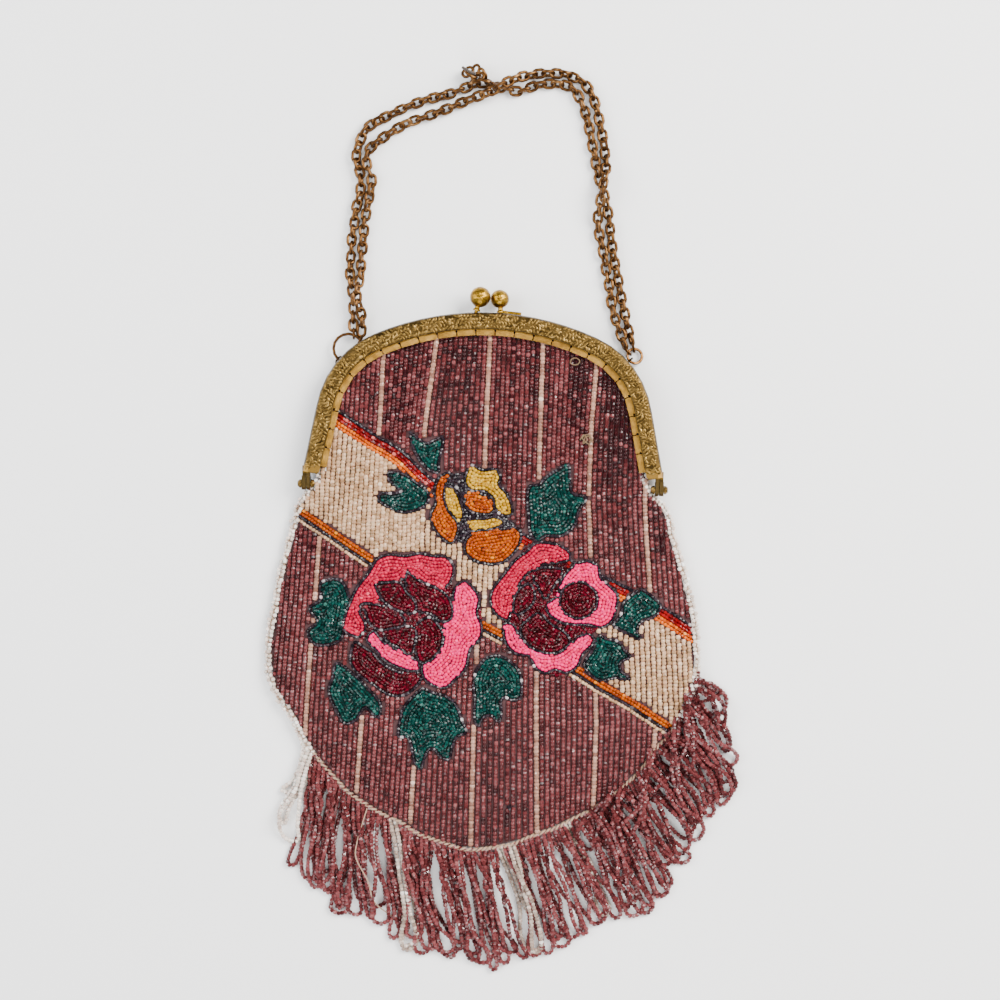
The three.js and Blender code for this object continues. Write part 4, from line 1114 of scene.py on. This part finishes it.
# The fringe: looped strands, each with its root on the seam
fringe = {"loops": 86, "radius": 1.03, "length": 1.5, "pitch": 1.55, "level": 1.25, "layer": 1.7}
fringeRows = [  # root on the seam, tip
    ((-73.5, -108.6), (-81.9, -133.1)), ((-70.5, -111.9), (-80.2, -154.5)),
    ((-66.2, -116.8), (-70.3, -166.5)), ((-55.5, -127.6), (-57.5, -179.7)),
    ((-44, -135.7), (-40.2, -180.2)), ((-38.1, -138.6), (-31.6, -193.5)),
    ((-19.4, -147.5), (-10.1, -198.1)), ((0.8, -152.1), (12.3, -202.3)),
    ((14.2, -149.8), (29.8, -198.2)), ((34.2, -141), (53.9, -183.5)),
    ((53.4, -131.4), (76.9, -175.1)), ((64.9, -121.1), (87.4, -154.3)),
    ((74.8, -107.9), (98.8, -136)), ((83.4, -94.7), (108.5, -129.5)),
    ((89.4, -81.2), (104.5, -102.3)), ((90.2, -77), (100.4, -85.6)),
]
strays = [  # root, tip, bow of the loops that lie across the rest at the right
    ((62, -124), (66, -160), 6), ((68, -117), (60, -147), -5), ((74, -109), (80, -150), 7),
    ((79, -101), (75, -131), -6), ((84, -93), (92, -140), 5), ((86, -88), (83, -121), -5),
    ((88, -83), (97, -118), 4), ((58, -128), (47, -152), 4), ((48, -134), (60, -168), -5),
]
paleStrands = [  # from where to where along the tips, and the beads
    (-84, -78.5, "crystal"), (-29, -24.5, "clear"), (24, 27, "clear"), (30, 32.5, "clear"),
    (55.5, 58.5, "clear"),
]
rootLine = seamLine(1.4)
rootGaps = np.concatenate([[0], np.cumsum(np.linalg.norm(np.diff(rootLine, axis=0), axis=1))])
rowAt = [rootGaps[np.argmin(np.sum((rootLine - root) ** 2, axis=1))] for root, tip in fringeRows]
rowTips = np.array([tip for root, tip in fringeRows])
fringeBeads = {"mauve": [], "clear": [], "crystal": []}


def strandLoop(root, tip, bow, layer, kind):
    heading = unit(tip - root)
    side = np.array([heading[1], -heading[0]])
    reach = np.linalg.norm(tip - root)
    opening = chance.uniform(1.5, 4.0)
    mouthFrom = 1 - min(chance.uniform(12, 28) / reach, 0.8)
    sway, phase = chance.uniform(0.4, 1.8), chance.uniform(0, 2 * math.pi)
    twist = chance.choice([0, 1, 2, 3]) * math.pi
    t = np.linspace(0, 1, 80)
    centre = root + (tip - root) * t[:, None] + side * (
        bow * np.sin(t * math.pi) + sway * np.sin(t * 8 + phase) * t)[:, None]
    apart = 1.0 + (opening - 1.0) * smoothStep(t, mouthFrom, (mouthFrom + 2) / 3)
    apart = apart * np.sqrt(np.maximum(0, 1 - np.clip((t - 1 + 3 / reach) * reach / 3, 0, 1) ** 2))
    turn = twist * smoothStep(t, 0.05, mouthFrom)
    rise = (1 - smoothStep(t, 0.75, 1.0)) * smoothStep(t, 0, 0.15)
    level = fringe["level"] + layer * fringe["layer"] * rise
    level = level + 1.4 * (1 - smoothStep(t, 0, 0.12))
    strands = []
    for hand in (-1, 1):
        across = hand * apart * np.cos(turn)
        lift = np.abs(np.minimum(apart, 1.2) * np.sin(turn)) * (1 + hand * np.sign(np.cos(turn / 2 + 0.3)))
        strands.append(np.column_stack([centre + side * across[:, None], level + lift * 0.9]))
    line = evenLine(np.vstack([strands[0], strands[1][::-1][1:]]), fringe["pitch"])
    depth = chance.normal(0.05 if root[0] < 55 else -0.06, 0.12)
    for place, along in zip(line, unit(np.gradient(line, axis=0))):
        tone = chance.random() * 0.995
        if kind == "mauve" and tone < 0.93:
            tone = min(max(tone * 0.75 + 0.2 + depth, 0), 0.93)
        fringeBeads[kind].append((
            place + chance.normal(0, 0.05, 3), along + chance.normal(0, 0.08, 3), np.array([0, 0, 1.0]),
            fringe["radius"] * chance.normal(1, 0.05), fringe["length"], tone))


for i, at in enumerate(np.linspace(rowAt[0], rowAt[-1], fringe["loops"])):
    root = np.array([np.interp(at, rootGaps, rootLine[:, k]) for k in (0, 1)])
    tip = np.array([np.interp(at, rowAt, rowTips[:, k]) for k in (0, 1)])
    kind = next((beads for low, high, beads in paleStrands if low <= tip[0] <= high), "mauve")
    tip = root + (tip - root) * chance.uniform(0.88, 1.05) + chance.normal(0, 1.4, 2)
    strandLoop(root, tip, chance.normal(0, 2.0), i * 7 % 3, kind)
for root, tip, bow in strays:
    strandLoop(np.array(root), np.array(tip), bow, 3, "mauve")
fringePieces = {
    kind: beadPiece(f"fringe_{kind}", beads, 6, kind, "fringe_beads") for kind, beads in fringeBeads.items()}
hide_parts("fringe")
print("fringe strung:", sum(len(beads) for beads in fringeBeads.values()), "beads")


# The chain: two strands of links along the routes of their tubes
chain = {"pitch": 3.62, "length": 6.4, "width": 4.8, "wire": 0.70, "sides": 6, "steps": 14}
chainRoutes = {
    "a": [(-56.3, 80, 2), (-57.7, 90, 2), (-57.1, 101, 2), (-56.2, 113, 2), (-53.9, 123, 2),
          (-54, 131, 2), (-55.9, 137.5, 2), (-55.1, 143, 2), (-51.5, 150.3, 2), (-43.4, 155.5, 2),
          (-29.9, 161.6, 2), (-15.6, 166.1, 2), (-3, 170.3, 2), (4.1, 168.6, 2), (12.5, 167.2, 2),
          (20.5, 170, 2), (29, 170.3, 2), (35, 168.2, 2), (38.5, 163, 2), (41.2, 155.5, 2),
          (43.2, 146.3, 2), (44.9, 138.5, 2), (46, 133, 2), (48.6, 125, 2), (50.9, 114.5, 2),
          (52.9, 100.5, 2), (56.1, 85.6, 2), (59, 71.8, 2)],
    "b": [(-52.2, 70.5, 3.8), (-54.3, 78.7, 6.2), (-53.2, 87.5, 3.6), (-53, 95, 2), (-52.2, 106.5, 2),
          (-51.6, 113.6, 2), (-49.8, 122.5, 2), (-49.4, 130, 2), (-51.7, 136.5, 2), (-50.3, 141.5, 2),
          (-46.2, 145.2, 2), (-38, 151, 2), (-23.6, 156.8, 2), (-9.8, 162.6, 2.4), (-1, 165.8, 5),
          (4.6, 168.6, 6.3), (10.2, 171.7, 4.8), (18.7, 174.4, 2), (23.5, 175, 2), (31, 174.6, 2),
          (37.6, 172.3, 2), (41.4, 168.9, 2), (44, 163.3, 2), (46.2, 156.6, 2), (47.9, 148, 2),
          (49.2, 140, 2.6), (49.4, 133.5, 5), (48, 125.8, 6.3), (46.9, 118.5, 4.8), (46.6, 110.8, 2.4),
          (48.9, 99.5, 2), (51.8, 84.9, 2), (54, 73.8, 2)],
}


def linkMiddle(name):
    low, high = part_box(name)
    return (np.array((low + high) / 2) - hingeMiddle) * 1000


def chainLink(place, along, up):
    # an oval of wire, closed on itself
    turn = np.arange(chain["steps"]) * 2 * math.pi / chain["steps"]
    across = np.cross(up, along)
    bend = chain["width"] / 2 - chain["wire"]
    stretch = (chain["length"] - chain["width"]) / 2
    x = np.cos(turn) * bend + np.sign(np.round(np.cos(turn), 6)) * stretch
    y = np.sin(turn) * bend
    middle = place + x[:, None] * along + y[:, None] * across
    points = tubePoints(middle, chain["wire"], chain["sides"], up, closed=True)
    return points + (0, 0, max(0, 0.05 - points[..., 2].min()))  # rests on the table


linkFaces = tubeFaces(chain["steps"], chain["sides"], closed=True)


def strandLinks(points):
    line = smoothLine(points)
    gaps = np.concatenate([[0], np.cumsum(np.linalg.norm(np.diff(line, axis=0), axis=1))])
    count = int(round(gaps[-1] / chain["pitch"]))
    parts = []
    for i in range(1, count):
        at = gaps[-1] * i / count
        place = np.array([np.interp(at, gaps, line[:, k]) for k in range(3)])
        ahead = np.array([np.interp(at + 1, gaps, line[:, k]) for k in range(3)])
        along = unit(ahead - place)
        side = unit(np.cross(along, (0, 0, 1)))
        rise = np.cross(side, along)
        lean = math.radians((14 if i % 2 else 72) + chance.normal(0, 10))
        up = rise * math.cos(lean) + side * math.sin(lean)
        parts.append((chainLink(place + chance.normal(0, 0.12, 3) * (1, 1, 0.3), along, up), linkFaces))
    return parts


for name, route in chainRoutes.items():
    ends = [linkMiddle(f"end_link_left_{name}"), linkMiddle(f"end_link_right_{name}")]
    piece = makePiece(f"chain_links_{name}", *joinParts(strandLinks([ends[0], *route, ends[1]])),
                      chainMetal, "chain_brass")
    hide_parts(f"chain_strand_{name}")
print("chain linked")


# Spare links knotted round the upper strand, with a dark end of thread
knot = [  # place, heading, lean
    ((-9.5, 174.6, 3.4), 40, 20), ((-8.0, 173.2, 5.6), -30, 60), ((-6.2, 175.0, 4.2), 80, 35),
    ((-5.2, 172.2, 6.2), 10, 15), ((-3.4, 173.4, 5.0), 120, 50), ((-2.2, 170.9, 5.8), -15, 70),
    ((-7.2, 171.4, 3.0), 60, 75),
]
knotParts = []
for place, heading, lean in knot:
    heading, lean = math.radians(heading), math.radians(lean)
    along = np.array([math.cos(heading), math.sin(heading), 0])
    across = np.array([-math.sin(heading), math.cos(heading), 0])
    up = np.array([0, 0, 1.0]) * math.cos(lean) + across * math.sin(lean)
    knotParts.append((chainLink(np.array(place), along, up), linkFaces))
makePiece("knotted_links", *joinParts(knotParts), chainMetal, "chain_brass")
threadEnd = smoothLine([(-11.8, 176.2, 5.2), (-10.4, 175.2, 6.0), (-8.4, 173.8, 6.9), (-6.2, 173.2, 7.2)])
darkThread = clothMaterial("dark_thread", (0.02, 0.013, 0.01), (0.07, 0.05, 0.035), 900)
tubePiece("knot_thread", [threadEnd], 0.62, darkThread)


# Foliage stamped on the frame, raised above its dark ground
foliage = {"step": 1.5, "rows": (1.25, 2.85, 4.4, 6.0), "leaf": 2.65, "width": 0.56, "height": 0.42,
           "flowerEvery": 15.5, "flower": 2.2, "swing": 14.0, "lipFrom": 6.2, "lipTo": 7.1, "lip": 0.4}
frameLine = evenLine(archLine(0, 0.4), 0.25)
frameGaps = np.arange(len(frameLine)) * np.linalg.norm(frameLine[1] - frameLine[0])
frameTangent = unit(np.gradient(frameLine, axis=0))


def onFrame(at, inset):
    x = np.interp(at, frameGaps, frameLine[:, 0])
    y = np.interp(at, frameGaps, frameLine[:, 1])
    tx = np.interp(at, frameGaps, frameTangent[:, 0])
    ty = np.interp(at, frameGaps, frameTangent[:, 1])
    return x + ty * inset, y - tx * inset


def leafBlade(at, inset, heading, bend, length, width):
    # rows of three points: one edge, the ridge, the other edge
    t = np.linspace(0, 1, 5)
    turn = heading + bend * (t - 0.5)
    along = at + length * (t - 0.5) * np.cos(turn)
    across = inset + length * (t - 0.5) * np.sin(turn)
    half = width * np.sin(math.pi * np.clip(t * 0.92 + 0.06, 0, 1)) ** 0.75
    rows = []
    for side in (-1, 0, 1):
        s = along - side * half * np.sin(turn)
        n = np.clip(across + side * half * np.cos(turn), 0.35, foliage["lipTo"])
        rows.append(np.column_stack([*onFrame(s, n), np.full(5, foliage["height"] if side == 0 else 0.03)]))
    return np.stack(rows, axis=1).reshape(-1, 3)


bladeFaces = []
for i in range(4):
    for j in range(2):
        a = i * 3 + j
        bladeFaces.append([a, a + 1, a + 4, a + 3])
blades = []
total = frameGaps[-1]
flowerPlaces = np.arange(foliage["flowerEvery"] / 2, total, foliage["flowerEvery"])
for k, inset in enumerate(foliage["rows"]):
    for at in np.arange(1.5 + k * foliage["step"] / 2, total - 1.5, foliage["step"]):
        if np.min(np.abs(flowerPlaces - at)) < foliage["flower"] and 1.2 < inset < 5.2:
            continue
        swing = math.sin(at * 2 * math.pi / foliage["swing"] + k * 1.1)
        heading = math.radians(72) * swing + chance.normal(0, 0.22)
        blades.append(leafBlade(
            at, inset + chance.normal(0, 0.12), heading, chance.normal(0.5, 0.5) * (1 if swing > 0 else -1),
            foliage["leaf"] * chance.uniform(0.8, 1.15), foliage["width"] * chance.uniform(0.8, 1.15)))
for at in flowerPlaces:
    for k in range(6):
        turn = k * math.pi / 3
        blades.append(leafBlade(at + 0.95 * math.cos(turn), 3.3 + 0.95 * math.sin(turn), turn, 0, 1.7, 0.52))


def surfaceOf(name):
    node = nodes[name]
    points = [node.matrix_world @ vertex.co for vertex in node.data.vertices]
    return BVHTree.FromPolygons(points, [list(face.vertices) for face in node.data.polygons])


for facing, name in ((1, "frame_band_front"), (-1, "frame_band_back")):
    tree = surfaceOf(name)
    top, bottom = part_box(name)[1].z * 1000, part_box(name)[0].z * 1000
    parts = []
    for blade in blades:
        points = blade.copy()
        levels = []
        for x, y in toFrame(blade * (1, 1, 0))[:, :2]:
            hit = tree.ray_cast(Vector((x, y, 0.05 * facing)), Vector((0, 0, -facing)))[0]
            levels.append(hit.z * 1000 if hit else (top if facing > 0 else bottom))
        points[:, 2] = np.array(levels) + blade[:, 2] * facing
        parts.append((points, [face[::-facing] for face in bladeFaces]))
    makePiece(f"foliage_{'front' if facing > 0 else 'back'}", *joinParts(parts), leafBrass, "frame_brass",
              smooth=True)
    # the turned lip inside the foliage, which laps over the rail
    face = (top if facing > 0 else bottom) + 0.03 * facing

    def lipPlace(u, v):
        x, y = onFrame(0.5 + (u + 1) / 2 * (total - 1), foliage["lipFrom"] + (v + 1) / 2 * (
            foliage["lipTo"] - foliage["lipFrom"]))
        return np.column_stack([x, y, face - 0.12 * facing * np.maximum(v, 0) ** 2])

    sheetPiece(f"band_lip_{'front' if facing > 0 else 'back'}", (240, 4), lipPlace, foliage["lip"], facing,
               agedBrass)
print("foliage stamped:", len(blades), "leaves a side")


# Painted shade: dark discs laid over the round ends of the rails' slits, standing in for the shadow in the
# holes
slits = {"pitch": 7.85, "inset": 7.62, "radius": 0.46}
railEdge = archLine(arch["band"] + arch["rail"], arch["trim"], 0.1)
tabs = round(0.1 * (len(railEdge) - 1) / slits["pitch"])
slitLine = archLine(slits["inset"], arch["trim"], 0.1)
turn = np.arange(8) * math.pi / 4
shadeDiscs = []
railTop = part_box("sewing_rail_front")[1].z * 1000 + 0.03
for i in range(1, tabs):
    x, y = slitLine[round(i / tabs * (len(slitLine) - 1))]
    disc = np.column_stack([
        x + slits["radius"] * np.cos(turn), y + slits["radius"] * np.sin(turn), np.full(8, railTop)])
    low = disc - (0, 0, 0.3)
    shadeDiscs.append((np.vstack([low, disc]), barrelFaces(8, 2)))
# a near-black finish, painted shade for the slit ends
paintedSlitShade = metalMaterial(
    "painted_slit_shade", (0.004, 0.002, 0.001), (0.012, 0.006, 0.004), (0.03, 0.016, 0.01), 0.8, 400)
makePiece("painted_slit_shade_discs", *joinParts(shadeDiscs), paintedSlitShade, "frame_brass", smooth=False)


# Chased skins for the balls of the clasp
balls = {"front": ((-2.47, 79.44, 8.6), 4.25), "back": ((5.68, 79.0, 6.1), 3.8)}
for name, (place, radius) in balls.items():
    bpy.ops.object.select_all(action="DESELECT")
    bpy.ops.mesh.primitive_uv_sphere_add(segments=56, ring_count=36, radius=(radius + 0.05) * 0.001)
    ball = bpy.context.object
    ball.name = f"ball_skin_{name}"
    for vertex in ball.data.vertices:
        way = vertex.co.normalized()
        turn = math.atan2(way.y, way.x)
        chasing = 0.07 * math.sin(9 * turn + 5 * way.z) * math.sin(14 * way.z)
        vertex.co += way * chasing * 0.001 + Vector(toFrame(place))
    bpy.ops.object.shade_smooth()
    ball.data.materials.append(claspMetal)
    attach(ball, "root")


# Odd threads on the bag
def overBag(points, rise):
    return smoothLine([(x, y, float(bagLevel(x, y)) + rise) for x, y in points])


goldThread = clothMaterial("gold_thread", (0.07, 0.038, 0.014), (0.19, 0.11, 0.042), 900)
tubePiece("gold_oval", [overBag([
    (35.6, 52.6), (36.3, 54.1), (38.1, 54.5), (39.6, 53.4), (38.9, 52.0), (37.0, 51.7), (35.6, 52.5)], 0.3)],
    0.22, goldThread)
tubePiece("gold_tangle", [overBag([
    (40.2, 20.2), (41.8, 22.4), (43.2, 20.2), (41.6, 18.8), (42.6, 21.6), (44.8, 21.4), (44.2, 18.6),
    (42.4, 19.6), (41.2, 21.2), (43.6, 22.6), (45.6, 19.8)], 0.4)], 0.24, goldThread)
tubePiece("loose_thread", [smoothLine([
    (-46.2, -136.2, 4.6), (-50, -150.1, 6.2), (-50.5, -156, 6.6), (-45.1, -166.6, 6.4), (-42.4, -175.5, 4.2),
    (-33, -183.4, 0.9), (-29, -187, 0.4)])], 0.26, seamThread)
print("threads laid")


# The solids that stay: the frame, its rails, rivets, balls, rings and last links
finishes = {
    "frame_band_front": agedBrass, "frame_band_back": agedBrass,
    "sewing_rail_front": railBrass, "sewing_rail_back": railBrass,
    "hinge_rivet_left": leafBrass, "hinge_rivet_right": leafBrass,
    "clasp_ball_front": claspMetal, "clasp_ball_back": claspMetal,
    "ring_left": chainMetal, "ring_right": chainMetal,
    "end_link_left_a": chainMetal, "end_link_left_b": chainMetal,
    "end_link_right_a": chainMetal, "end_link_right_b": chainMetal,
}
for name, material in finishes.items():
    node = nodes[name]
    if not node.material_slots:
        node.data.materials.append(material)
    for slotOfNode in node.material_slots:
        slotOfNode.material = material
print("metal finished")

triangles = {}
for piece in bpy.context.scene.objects:
    if piece.type == "MESH" and piece.name != "table_top":
        triangles[piece.name] = sum(len(face.vertices) - 2 for face in piece.data.polygons)
print("triangles:", sum(triangles.values()), {name: n for name, n in triangles.items() if n > 20000})
